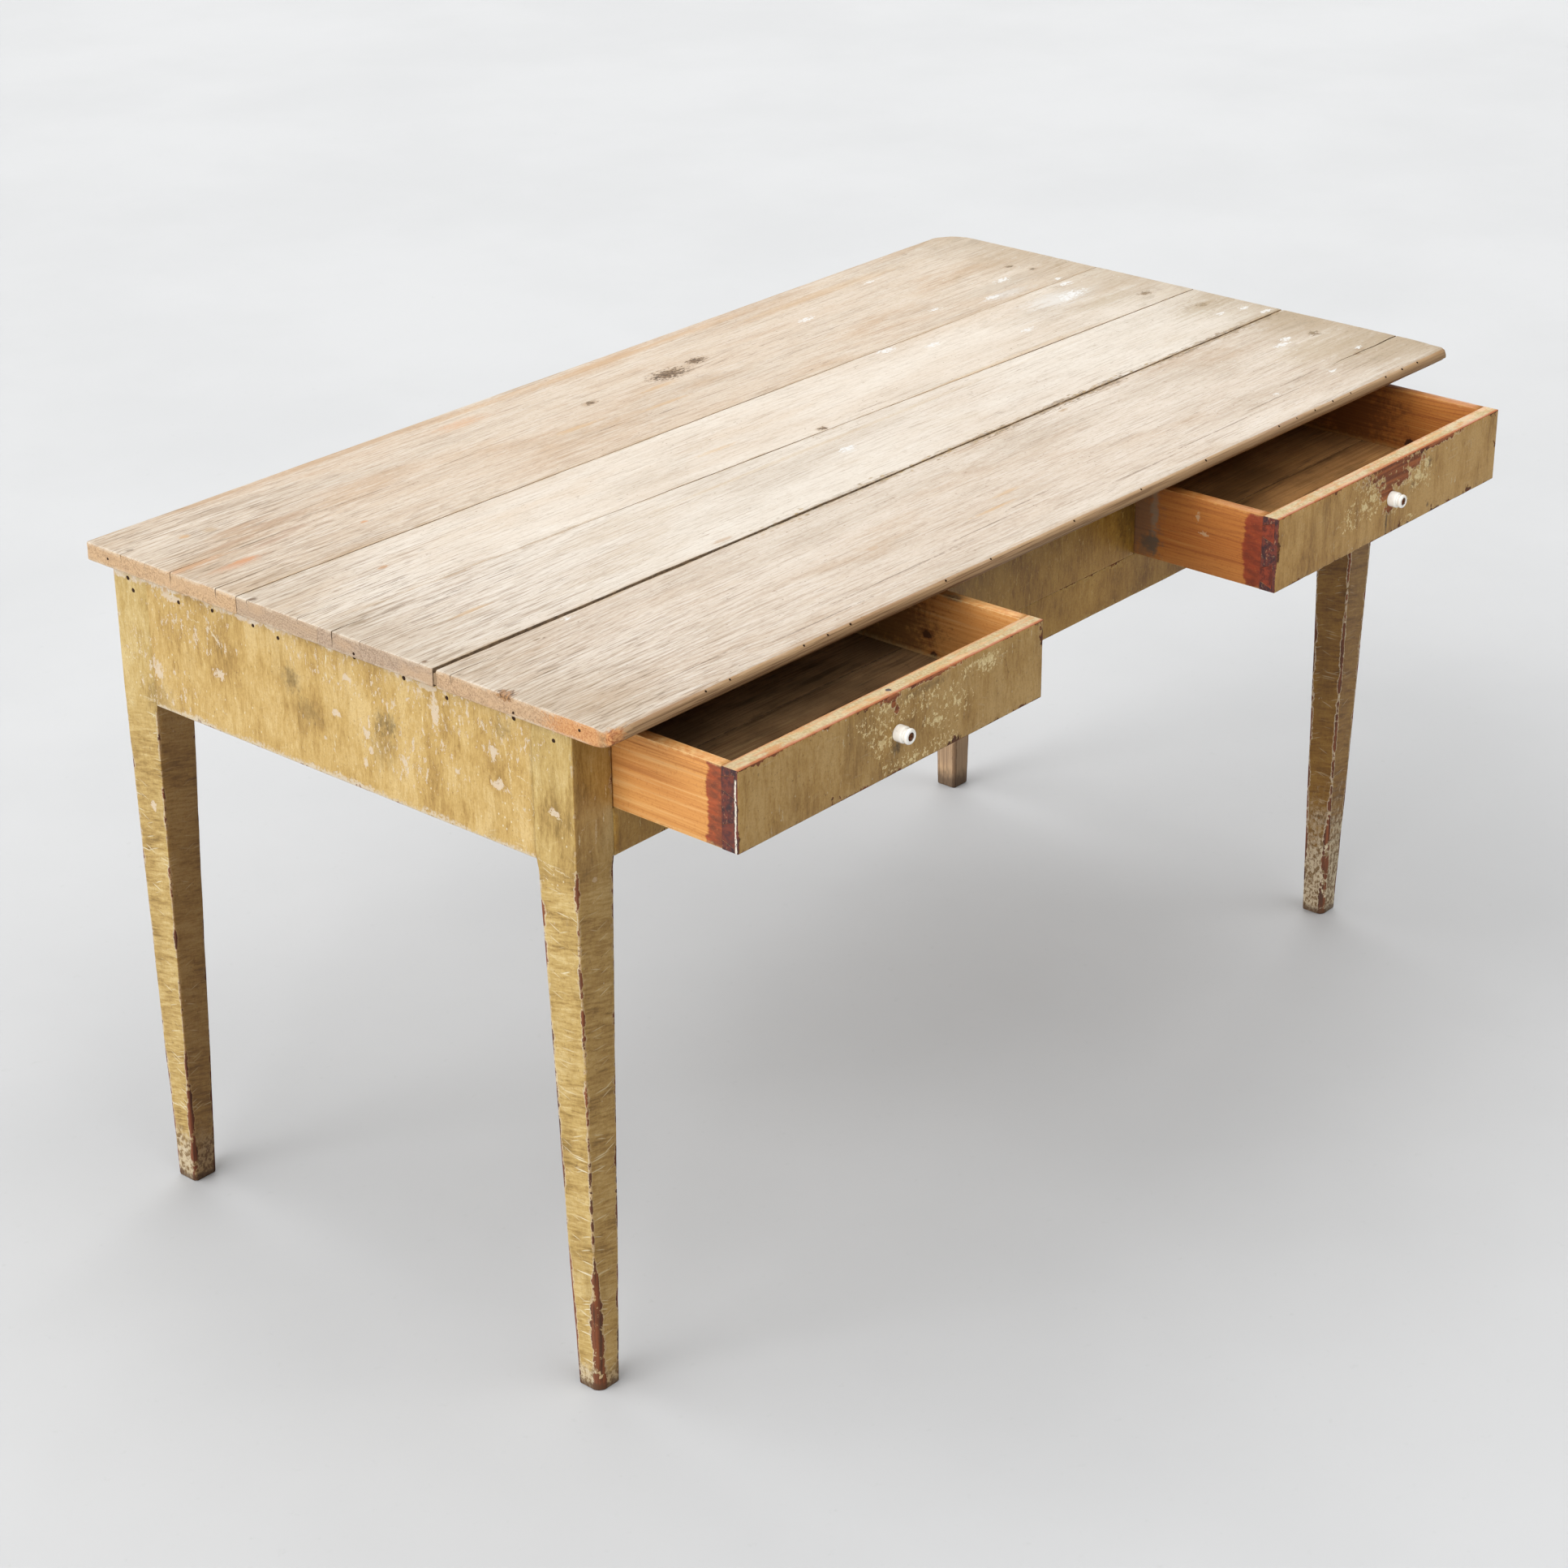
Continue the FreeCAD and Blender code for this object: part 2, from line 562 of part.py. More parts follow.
    # knob: turned, with a well in its nose for the screw head
    body = new_body(prefix + "_knob")
    place(body, x0 + wide / 2, yf, z0 + high / 2)
    sk = sketch(body, "XY_Plane")
    polygon(sk, [(P("bore_rad"), 0), (P("knob_rad"), 0), (P("knob_rad"), -P("knob_drum")),
                 (P("neck_rad"), -P("knob_drum")), (P("neck_rad"), -P("knob_neck")),
                 (P("bead_rad"), -P("knob_neck")), (P("bead_rad"), -P("knob_long")),
                 (P("well_rad"), -P("knob_long")), (P("well_rad"), -P("well_floor")),
                 (P("bore_rad"), -P("well_floor"))])
    turned = body.newObject("PartDesign::Revolution", "turn_" + prefix)
    turned.Profile = sk
    turned.ReferenceAxis = (sk, ["V_Axis"])
    turned.Angle = 360.0

    def ring(radius, y):
        def wanted(e):
            c = getattr(e.Curve, "Radius", None)
            return c is not None and abs(c - radius) < 0.02 and abs(e.CenterOfMass.y - y) < 0.02
        return wanted

    fillet(body, P("drum_round"), ring(VALUES["knob_rad"], -VALUES["knob_drum"]))
    fillet(body, P("base_round"), ring(VALUES["knob_rad"], 0.0))
    fillet(body, P("bead_round"), ring(VALUES["bead_rad"], -VALUES["knob_long"]))
    fillet(body, P("bead_round"), ring(VALUES["bead_rad"], -VALUES["knob_neck"]))

    # screw: slotted head in the well, shank into the front
    body = new_body(prefix + "_knob_screw")
    place(body, x0 + wide / 2, yf, z0 + high / 2)
    sk = sketch(body, "XY_Plane")
    polygon(sk, [(0, P("screw_deep")), (P("screw_rad"), P("screw_deep") - 4), (P("screw_rad"), -P("well_floor")),
                 (P("screw_head"), -P("well_floor")), (P("screw_head"), -P("screw_top") + 1),
                 (P("screw_head") - 1.2, -P("screw_top")), (0, -P("screw_top"))])
    turned = body.newObject("PartDesign::Revolution", "turn_" + prefix)
    turned.Profile = sk
    turned.ReferenceAxis = (sk, ["V_Axis"])
    turned.Angle = 360.0
    sk = sketch(body, "XY_Plane", P("slot_w") / 2)
    rectangle(sk, dim(-5), dim(5), -P("screw_top") - 1, -P("screw_top") + P("slot_deep"))
    pocket(body, sk, P("slot_w"))

    # nails: up through the rear floor board into the back
    nails = []
    for k, share in enumerate((0.15, 0.38, 0.62, 0.85)):
        xn, yn = x0 + wide * share, yf + deep - P("back_thk") / 2
        shank = doc.addObject("Part::Cylinder", "shank_%s_%d" % (prefix, k))
        bind(shank, "Radius", P("nail_rad"))
        bind(shank, "Height", P("nail_long"))
        place(shank, xn, yn, z0 + P("floor_low"))
        cap = doc.addObject("Part::Cylinder", "cap_%s_%d" % (prefix, k))
        bind(cap, "Radius", P("nail_head"))
        bind(cap, "Height", P("nail_cap"))
        place(cap, xn, yn, z0 + P("floor_low") - P("nail_cap"))
        nail = doc.addObject("Part::Fuse", "nail_%s_%d" % (prefix, k))
        nail.Base = shank
        nail.Tool = cap
        nails.append(nail)
    group(prefix + "_nails", nails)


drawer("drawer_left", -leg_in + P("drawer_gap"), P("open_left"))
drawer("drawer_right", P("panel_half") + P("drawer_gap"), P("open_right"))

# ---------------------------------------------------------------- check and write
doc.recompute()
for obj in doc.Objects:
    if "Invalid" in obj.State or "Error" in obj.State:
        raise RuntimeError("%s failed: %s" % (obj.Label, obj.State))
for obj in NODES:
    shape = obj.Shape
    if shape.isNull() or not shape.isValid() or not shape.Solids:
        raise RuntimeError("%s has no valid solid" % obj.Label)
for obj in NODES:
    obj.Shape.exportStep(os.path.join("parts", obj.Label + ".step"))
print("%d nodes written" % len(NODES))
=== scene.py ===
import math

import bmesh
import bpy
import numpy as np
from mathutils import Matrix, Vector, noise


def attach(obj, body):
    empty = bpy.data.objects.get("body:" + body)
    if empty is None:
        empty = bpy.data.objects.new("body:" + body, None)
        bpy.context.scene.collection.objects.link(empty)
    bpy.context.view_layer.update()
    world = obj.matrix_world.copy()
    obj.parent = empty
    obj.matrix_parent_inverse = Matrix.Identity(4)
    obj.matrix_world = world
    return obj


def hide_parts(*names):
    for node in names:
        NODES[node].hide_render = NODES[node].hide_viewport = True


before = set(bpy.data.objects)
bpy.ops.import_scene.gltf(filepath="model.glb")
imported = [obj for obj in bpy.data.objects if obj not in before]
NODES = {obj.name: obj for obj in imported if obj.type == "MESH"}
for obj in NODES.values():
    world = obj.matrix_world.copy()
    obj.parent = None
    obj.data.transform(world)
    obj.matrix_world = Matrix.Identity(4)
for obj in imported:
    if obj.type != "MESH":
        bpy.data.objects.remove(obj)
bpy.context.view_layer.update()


# ---------------------------------------------------------------- small maths
def lerp(a, b, t):
    return a + (b - a) * t


def smooth(t):
    t = max(0.0, min(1.0, t))
    return t * t * (3 - 2 * t)


def drop(d, r):
    """How far a rounded edge of radius r has fallen at distance d inside the edge."""
    if r <= 0 or d >= r:
        return 0.0
    k = r - max(d, 0.0)
    return r - math.sqrt(max(r * r - k * k, 0.0))


def wob(x, y=0.0, z=0.0):
    return noise.noise(Vector((x, y, z)))


# ---------------------------------------------------------------- materials
LIGHT = 0.58  # share of a colour's brightness that comes from the surface, the rest from the strong light


def C(r, g, b):
    """A colour as seen in full light, 0 to 255, as the surface's own linear colour."""
    def one(v):
        v /= 255.0
        return LIGHT * (v / 12.92 if v <= 0.04045 else ((v + 0.055) / 1.055) ** 2.4)
    return (one(r), one(g), one(b), 1.0)


class Mat:
    """A node material under construction. Numbers and sockets mix freely."""

    def __init__(self, name, rough=0.6, spec=0.3):
        self.m = bpy.data.materials.new(name)
        self.m.use_nodes = True
        self.t = self.m.node_tree
        self.t.nodes.clear()
        out = self.t.nodes.new("ShaderNodeOutputMaterial")
        self.bsdf = self.t.nodes.new("ShaderNodeBsdfPrincipled")
        self.t.links.new(self.bsdf.outputs[0], out.inputs[0])
        self.bsdf.inputs["Roughness"].default_value = rough
        self.bsdf.inputs["Specular IOR Level"].default_value = spec
        self.P = self.t.nodes.new("ShaderNodeTexCoord").outputs["Object"]
        s = self.t.nodes.new("ShaderNodeSeparateXYZ")
        self.t.links.new(self.P, s.inputs[0])
        self.x, self.y, self.z = s.outputs

    def put(self, sock, v):
        if isinstance(v, bpy.types.NodeSocket):
            self.t.links.new(v, sock)
        else:
            sock.default_value = v

    def math(self, op, a, b=0.0, c=0.0, clamp=False):
        n = self.t.nodes.new("ShaderNodeMath")
        n.operation = op
        n.use_clamp = clamp
        self.put(n.inputs[0], a)
        self.put(n.inputs[1], b)
        self.put(n.inputs[2], c)
        return n.outputs[0]

    def add(self, a, b):
        return self.math("ADD", a, b)

    def sub(self, a, b):
        return self.math("SUBTRACT", a, b)

    def mul(self, a, b):
        return self.math("MULTIPLY", a, b)

    def mad(self, a, b, c):
        return self.math("MULTIPLY_ADD", a, b, c)

    def most(self, *items):
        r = items[0]
        for i in items[1:]:
            r = self.math("MAXIMUM", r, i)
        return r

    def vec(self, op, a, b=(0, 0, 0)):
        n = self.t.nodes.new("ShaderNodeVectorMath")
        n.operation = op
        self.put(n.inputs[0], a)
        self.put(n.inputs[1], b)
        return n.outputs["Value"] if op in ("LENGTH", "DISTANCE", "DOT_PRODUCT") else n.outputs["Vector"]

    def comb(self, x, y, z):
        n = self.t.nodes.new("ShaderNodeCombineXYZ")
        for i, v in enumerate((x, y, z)):
            self.put(n.inputs[i], v)
        return n.outputs[0]

    def at(self, scale, shift=(0, 0, 0), base=None):
        v = self.vec("MULTIPLY", self.P if base is None else base, scale)
        return self.vec("ADD", v, shift) if any(shift) else v

    def noise(self, v, detail=2.0, rough=0.5, dist=0.0, colour=False, scale=1.0):
        n = self.t.nodes.new("ShaderNodeTexNoise")
        self.put(n.inputs["Vector"], v)
        n.inputs["Scale"].default_value = scale
        n.inputs["Detail"].default_value = detail
        n.inputs["Roughness"].default_value = rough
        n.inputs["Distortion"].default_value = dist
        return n.outputs[1] if colour else n.outputs[0]

    def voro(self, v, feature="F1", rand=1.0):
        n = self.t.nodes.new("ShaderNodeTexVoronoi")
        n.feature = feature
        self.put(n.inputs["Vector"], v)
        n.inputs["Scale"].default_value = 1.0
        n.inputs["Randomness"].default_value = rand
        return n

    def step(self, v, a, b, low=0.0, high=1.0, kind="SMOOTHSTEP"):
        n = self.t.nodes.new("ShaderNodeMapRange")
        n.interpolation_type = kind
        n.clamp = True
        for i, s in enumerate((v, a, b, low, high)):
            self.put(n.inputs[i], s)
        return n.outputs[0]

    def lin(self, v, a, b, low=0.0, high=1.0):
        return self.step(v, a, b, low, high, "LINEAR")

    def mix(self, fac, a, b, mode="MIX"):
        n = self.t.nodes.new("ShaderNodeMix")
        n.data_type = "RGBA"
        n.blend_type = mode
        n.clamp_factor = True
        self.put(n.inputs[0], fac)
        self.put(n.inputs[6], a)
        self.put(n.inputs[7], b)
        return n.outputs[2]

    def ramp(self, fac, stops):
        n = self.t.nodes.new("ShaderNodeValToRGB")
        els = n.color_ramp.elements
        while len(els) < len(stops):
            els.new(0.5)
        for e, (p, col) in zip(els, stops):
            e.position = p
            e.color = col
        self.put(n.inputs[0], fac)
        return n.outputs[0]

    def attr(self, name):
        n = self.t.nodes.new("ShaderNodeAttribute")
        n.attribute_name = name
        return n.outputs["Fac"]

    def normal(self):
        n = self.t.nodes.new("ShaderNodeNewGeometry")
        s = self.t.nodes.new("ShaderNodeSeparateXYZ")
        self.t.links.new(n.outputs["True Normal"], s.inputs[0])
        return s.outputs

    def dashes(self, scale, width, keep, shift=(0, 0, 0), base=None):
        """Short thin strokes, long along the axis with the smallest scale."""
        n = self.voro(self.at(scale, shift, base))
        s = self.t.nodes.new("ShaderNodeSeparateColor")
        self.t.links.new(n.outputs["Color"], s.inputs[0])
        body = self.step(n.outputs["Distance"], width, width * 0.35)
        return self.mul(body, self.math("GREATER_THAN", s.outputs[0], 1 - keep))

    def finish(self, colour, rough=None, height=None, strength=0.4, distance=0.0006):
        self.put(self.bsdf.inputs["Base Color"], colour)
        if rough is not None:
            self.put(self.bsdf.inputs["Roughness"], rough)
        if height is not None:
            b = self.t.nodes.new("ShaderNodeBump")
            b.inputs["Strength"].default_value = strength
            b.inputs["Distance"].default_value = distance
            self.put(b.inputs["Height"], height)
            self.t.links.new(b.outputs[0], self.bsdf.inputs["Normal"])
        return self.m


def centred(m, v, amount):
    """A noise value moved to lie about zero."""
    return m.mul(m.sub(v, 0.5), amount)


def near(m, c, r):
    """1 at the middle of an ellipsoid, 0 at its skin, below 0 outside."""
    return m.sub(1.0, m.vec("LENGTH", m.vec("DIVIDE", m.vec("SUBTRACT", m.P, c), r)))


def nearest(m, items):
    return m.most(*[near(m, c, r) for c, r in items])


def scrubbed(name, seed, pale, mid, brown, knots=(), stains=(), spots=(), checks=(), grain=1.0, blotch=1.0, dirty=0.0, end=C(176, 150, 126)):
    """Scrubbed pine with the grain along X. knots are (x, y, rx, ry), stains (x, y, rx, ry, colour, amount),
    spots of old white paint (x, y, rx, ry), checks long thin splits (x, y, half length, half width)."""
    m = Mat(name, 0.8, 0.22)
    shift = (seed * 3.7, seed * 11.3, seed * 5.1)
    tear = m.noise(m.at((170, 300, 300), shift), 4, 0.65)
    torn = centred(m, tear, 2.6)
    # the grain parts round each knot
    y = m.y
    for kx, ky, rx, ry in knots:
        v = m.vec("DIVIDE", m.vec("SUBTRACT", m.P, (kx, ky, 0.77)), (rx * 4.5, ry * 2.6, 1))
        close = m.step(m.vec("LENGTH", v), 1.4, 0.0)
        y = m.add(y, m.mul(m.mul(m.sub(ky, m.y), close), 0.55))
    y = m.add(y, m.mul(m.sub(m.noise(m.at((3.2, 9, 9), (seed, 8.0, 2.0)), 2, 0.5), 0.5), 0.006))
    Q = m.comb(m.x, y, m.z)
    cloud = m.noise(m.at((2.2, 11, 11), shift), 5, 0.62)
    zone = m.noise(m.at((1.0, 9, 9), (9.0, seed * 2.7, 3.0)), 3, 0.55)
    zone2 = m.noise(m.at((1.7, 14, 14), (2.0, seed * 1.9, 6.0)), 3, 0.55)
    streak = m.noise(m.at((4.2, 105, 105), shift, Q), 5, 0.68)
    flame = m.noise(m.at((8, 62, 62), (seed, 2.0, 7.0), Q), 4, 0.6)
    fibre = m.noise(m.at((13, 480, 480), shift, Q), 3, 0.65)
    wool = m.noise(m.at((170, 420, 420), shift), 3, 0.6)
    wander = m.noise(m.at((0.8, 5.5, 5.5), shift, Q), 2, 0.5)
    ring = m.mad(y, 135.0, m.mul(wander, 40.0))
    ring = m.add(ring, m.mul(m.noise(m.at((7, 60, 60), shift, Q), 3, 0.6), 2.2))
    saw = m.math("FRACT", ring)
    late = m.mul(m.step(saw, 0.50, 0.90), m.step(saw, 1.0, 0.93))
    busy = m.step(zone, 0.44, 0.62)
    busy2 = m.step(zone2, 0.46, 0.62)

    short = m.noise(m.at((20, 430, 430), (seed * 2.1, 4.0, 1.0), Q), 4, 0.64)
    grey = m.noise(m.at((3.4, 13, 13), (seed * 1.3, 7.0, 5.0), Q), 5, 0.58)
    warm = m.noise(m.at((4.2, 17, 17), (seed * 3.3, 1.0, 8.0), Q), 5, 0.60)
    drift = m.noise(m.at((15, 34, 34), (seed * 0.7, 3.0, 2.0)), 6, 0.7)
    calm = m.step(m.add(m.x, centred(m, cloud, 0.5)), -0.62, -0.20, 1.0, 0.55)
    col = m.mix(m.step(cloud, 0.36, 0.66), pale, mid)
    col = m.mix(m.mul(m.step(grey, 0.48, 0.70), 0.60 * blotch), col, C(206, 188, 166))
    col = m.mix(m.mul(m.step(warm, 0.50, 0.70), 0.60 * blotch), col, brown)
    col = m.mix(m.mul(m.step(drift, 0.54, 0.68), 0.11 * blotch), col, C(196, 170, 142))
    col = m.mix(m.mul(m.step(drift, 0.46, 0.34), 0.12), col, C(255, 248, 237))
    col = m.mix(m.mul(m.step(flame, 0.58, 0.74), m.mul(calm, 0.22 * blotch)), col, brown)
    col = m.mix(m.mul(m.step(streak, 0.54, 0.74), m.mul(calm, 0.19 * grain)), col, C(186, 160, 132))
    col = m.mix(m.mul(m.step(streak, 0.46, 0.30), m.mul(calm, 0.17)), col, C(253, 246, 234))
    col = m.mix(m.mul(m.step(short, 0.56, 0.65), m.mul(calm, 0.44 * grain)), col, C(150, 124, 96))
    col = m.mix(m.mul(m.step(short, 0.47, 0.35), m.mul(calm, 0.36)), col, C(255, 250, 241))
    col = m.mix(m.mul(late, m.mul(calm, m.mad(busy, 0.22 * grain, 0.03))), col, C(158, 128, 98))
    col = m.mix(m.mul(m.step(fibre, 0.55, 0.68), 0.36 * grain), col, C(146, 122, 96))
    col = m.mix(m.mul(m.step(fibre, 0.45, 0.34), 0.22), col, C(255, 251, 243))
    col = m.mix(m.mul(m.step(wool, 0.52, 0.66), 0.15), col, C(160, 134, 106))
    col = m.mix(m.mul(m.step(wool, 0.46, 0.34), 0.10), col, C(255, 252, 245))
    left = m.step(m.add(m.x, centred(m, cloud, 0.5)), -0.42, -0.66)
    col = m.mix(m.mul(left, m.mul(m.step(short, 0.51, 0.61), 0.46)), col, C(132, 108, 86))
    col = m.mix(m.mul(left, m.mul(m.step(streak, 0.52, 0.66), 0.40)), col, C(172, 146, 118))
    # open pores and short dark checks along the grain
    pores = m.dashes((30, 420, 420), 0.24, 0.16, shift, Q)
    splits = m.dashes((11, 230, 230), 0.13, 0.14, (seed, 5.0, 2.0), Q)
    col = m.mix(m.mul(pores, m.mad(busy2, 0.50 * grain, 0.14)), col, C(104, 84, 64))
    col = m.mix(m.mul(splits, m.mad(m.mul(busy, busy2), 0.54 * grain, 0.16)), col, C(98, 78, 60))
    dents = m.mul(m.step(m.noise(m.at((95, 150, 150), (seed, 2.0, 3.0)), 3, 0.6), 0.68, 0.74), m.step(grey, 0.42, 0.58))
    col = m.mix(m.mul(dents, 0.55), col, C(150, 120, 92))
    dots = m.dashes((120, 210, 210), 0.20, 0.07, (seed * 1.7, 3.0, 8.0))
    nicks = m.dashes((46, 260, 260), 0.17, 0.10, (seed * 2.9, 6.0, 1.0), Q)
    col = m.mix(m.mul(dots, m.step(cloud, 0.35, 0.60, 0.30, 0.70)), col, C(118, 92, 68))
    col = m.mix(m.mul(nicks, m.step(warm, 0.36, 0.56, 0.22, 0.60)), col, C(128, 102, 78))
    for cx, cy, lx, ly in checks:
        v = m.vec("DIVIDE", m.vec("SUBTRACT", Q, (cx, cy, 0.768)), (lx, ly, 1))
        line = m.step(m.add(m.sub(1.0, m.vec("LENGTH", v)), m.add(centred(m, tear, 1.8), centred(m, short, 1.2))), 0.1, 0.6)
        col = m.mix(m.mul(line, 0.52), col, C(112, 90, 70))
    # knots, weathered and speckled
    for kx, ky, rx, ry in knots:
        halo = m.step(m.add(near(m, (kx, ky, 0.768), (rx * 2.4, ry * 2.2, 0.05)), centred(m, streak, 2.0)), 0.0, 0.9)
        core = m.step(m.add(near(m, (kx, ky, 0.768), (rx * 1.6, ry * 1.6, 0.05)), centred(m, tear, 3.6)), 0.05, 0.60)
        col = m.mix(m.mul(halo, 0.42), col, C(196, 162, 120))
        col = m.mix(m.mul(core, 0.88), col, m.mix(m.step(wool, 0.4, 0.60), C(136, 108, 78), C(82, 62, 44)))
    for sx, sy, rx, ry, tint, amount in stains:
        f = m.add(near(m, (sx, sy, 0.768), (rx, ry, 0.05)), m.add(centred(m, streak, 2.2), centred(m, tear, 1.2)))
        col = m.mix(m.mul(m.step(f, 0.05, 0.85), amount), col, tint)
    # crumbs along the open gap
    away = m.math("ABSOLUTE", m.add(m.mad(m.x, 0.00297, 0.07845), m.y))
    crumb = m.noise(m.at((70, 330, 330), (3.0, seed, 5.0)), 4, 0.66)
    beside = m.step(m.add(away, m.add(centred(m, crumb, 0.030), centred(m, drift, 0.012))), 0.0072, 0.0048)
    beside = m.mul(beside, m.mul(m.step(m.x, -0.32, 0.05), m.step(m.noise(m.at((9, 1, 1), (1.0, 4.0, 2.0)), 2, 0.5), 0.34, 0.56)))
    col = m.mix(m.mul(beside, 0.70), col, m.mix(m.step(tear, 0.42, 0.58), C(178, 148, 108), C(112, 92, 68)))
    bits = m.mul(m.dashes((85, 190, 190), 0.42, 0.50, (seed, 7.0, 3.0)), m.step(m.add(away, centred(m, drift, 0.02)), 0.0150, 0.0080))
    bits = m.mul(bits, m.mul(m.step(m.x, -0.36, -0.16), m.step(m.noise(m.at((11, 1, 1), (6.0, 2.0, 2.0)), 2, 0.5), 0.36, 0.48)))
    col = m.mix(m.mul(bits, 0.92), col, m.mix(m.step(crumb, 0.46, 0.58), C(204, 176, 122), C(120, 96, 66)))
    # worn and dirty ends
    reach = m.add(m.math("ABSOLUTE", m.x), m.add(centred(m, cloud, 0.26), centred(m, streak, 0.14)))
    grime = m.mul(m.step(reach, 0.56, 0.74), dirty)
    col = m.mix(m.mul(grime, m.step(m.x, -0.2, 0.2, 0.35, 0.85)), col, C(184, 162, 128))
    col = m.mix(m.mul(m.mul(grime, m.step(m.x, 0.0, 0.5)), m.mul(m.step(tear, 0.55, 0.68), 0.5)), col, C(140, 118, 88))
    right = m.step(m.add(m.x, m.add(centred(m, cloud, 0.5), centred(m, grey, 0.4))), 0.28, 0.70)
    soil = m.noise(m.at((20, 44, 44), (seed * 4.4, 2.0, 9.0)), 6, 0.72)
    col = m.mix(m.mul(right, 0.14), col, C(180, 164, 138))
    col = m.mix(m.mul(m.mul(right, m.step(soil, 0.54, 0.66)), 0.34), col, m.mix(m.step(warm, 0.42, 0.60), C(168, 154, 132), C(176, 150, 110)))
    col = m.mix(m.mul(m.mul(right, m.step(soil, 0.44, 0.32)), 0.28), col, C(243, 238, 229))
    edge = m.add(m.attr("edge"), centred(m, tear, 0.007))
    rim = m.step(edge, 0.0042, 0.0012)
    tip = m.step(m.math("ABSOLUTE", m.x), 0.708, 0.716)
    col = m.mix(m.mul(rim, m.mul(tip, m.mul(m.step(drift, 0.44, 0.60), 0.42))), col, C(246, 234, 216))
    col = m.mix(m.mul(rim, m.mul(m.sub(1.0, tip), m.mul(m.step(drift, 0.40, 0.60), 0.5))), col, C(200, 170, 130))
    # old paint
    if spots:
        w = m.step(m.add(nearest(m, [((a, b, 0.768), (c * 1.3, d * 1.3, 0.05)) for a, b, c, d in spots]), centred(m, tear, 4.2)), 0.30, 0.62)
        col = m.mix(m.mul(w, 0.86), col, C(251, 250, 247))
    specks = m.dashes((85, 240, 240), 0.22, 0.06, (2.0, seed, 0.0))
    col = m.mix(m.mul(specks, m.mul(m.step(m.x, 0.05, 0.6), 0.6)), col, C(248, 246, 240))
    # faces that look along the seams between the boards are coloured dark brown
    nx, ny, nz = m.normal()
    seam = m.mul(m.step(m.math("ABSOLUTE", ny), 0.55, 0.85), m.mul(m.step(m.y, -0.28, -0.24), m.step(m.y, 0.42, 0.40)))
    col = m.mix(m.mul(seam, 0.9), col, m.mix(m.step(tear, 0.4, 0.6), C(168, 138, 104), C(118, 94, 70)))
    # end grain
    cells = m.noise(m.at((60, 620, 620), shift), 3, 0.7)
    rings = m.math("FRACT", m.mad(m.noise(m.at((0.4, 16, 30), shift), 1, 0.4), 16.0, m.mul(m.z, 90.0)))
    ends = m.mix(m.mul(m.step(cells, 0.42, 0.66), 0.50), end, C(118, 94, 74))
    ends = m.mix(m.mul(m.step(cells, 0.44, 0.28), 0.5), ends, C(226, 198, 166))
    ends = m.mix(m.mul(m.step(rings, 0.55, 0.95), 0.25), ends, C(142, 108, 80))
    ends = m.mix(m.mul(m.step(m.noise(m.at((20, 16, 40), shift), 3, 0.6), 0.50, 0.68), 0.5), ends, C(222, 186, 146))
    raw = m.step(m.add(near(m, (-0.722, -0.285, 0.758), (0.03, 0.085, 0.05)), centred(m, tear, 1.0)), 0.05, 0.6)
    turn = m.mul(m.step(m.x, 0.695, 0.712), m.step(m.y, -0.250, -0.285))
    ends = m.mix(m.mul(turn, 0.75), ends, m.mix(m.step(cells, 0.4, 0.65), C(226, 192, 148), C(188, 150, 108)))
    ends = m.mix(m.mul(raw, 0.85), ends, m.mix(m.step(cells, 0.4, 0.65), C(232, 172, 112), C(204, 134, 80)))
    ends = m.mix(m.mul(m.step(edge, 0.0024, 0.0004), m.mul(m.step(drift, 0.42, 0.58), 0.45)), ends, C(238, 220, 194))
    col = m.mix(m.step(m.math("ABSOLUTE", nx), 0.70, 0.92), col, ends)
    under = m.mix(m.step(streak, 0.35, 0.7), C(206, 168, 122), C(160, 118, 76))
    under = m.mix(m.mul(m.step(fibre, 0.52, 0.7), 0.4), under, C(120, 86, 54))
    col = m.mix(m.step(nz, -0.4, -0.8), col, under)
    # the rounded front edge: a tan shoulder over a grey, lined face
    ahead = m.step(m.y, -0.285, -0.298)
    shoulder = m.mul(ahead, m.step(m.add(nz, centred(m, flame, 0.16)), 0.985, 0.88))
    lined = m.noise(m.at((6, 520, 520), shift), 3, 0.65)
    low = m.mul(ahead, m.step(m.add(nz, centred(m, flame, 0.30)), 0.80, 0.45))
    col = m.mix(m.mul(shoulder, 0.72), col, m.mix(m.step(streak, 0.40, 0.64), C(222, 178, 122), C(192, 142, 90)))
    lines_here = m.step(m.x, 0.45, -0.10, 0.55, 1.0)
    col = m.mix(m.mul(low, 0.85), col, m.mix(m.mul(m.step(lined, 0.42, 0.62), lines_here), C(206, 168, 124), C(140, 104, 72)))
    # the front left tip is broken and shows fresh wood
    fresh = m.step(m.add(near(m, (-0.716, -0.3020, 0.7630), (0.016, 0.011, 0.012)), centred(m, tear, 1.4)), 0.05, 0.45)
    col = m.mix(m.mul(fresh, 0.92), col, m.mix(m.step(wool, 0.40, 0.64), C(228, 164, 104), C(172, 100, 56)))
    # a splintered hollow on the left end
    bark = m.step(m.add(near(m, (-0.722, -0.170, 0.769), (0.014, 0.013, 0.008)), centred(m, tear, 2.2)), 0.05, 0.5)
    col = m.mix(m.mul(bark, 0.8), col, m.mix(m.step(wool, 0.42, 0.60), C(190, 138, 86), C(98, 66, 42)))
    h = m.sub(m.add(m.mul(fibre, 0.45), m.mul(wool, 0.25)), m.add(m.mul(pores, 0.7), m.mul(splits, 0.6)))
    h = m.add(h, m.mul(late, 0.25))
    return m.finish(col, m.step(cloud, 0.3, 0.7, 0.72, 0.9), h, 0.5, 0.0007)


PRIMER = C(234, 218, 192)
PINK = C(236, 212, 184)


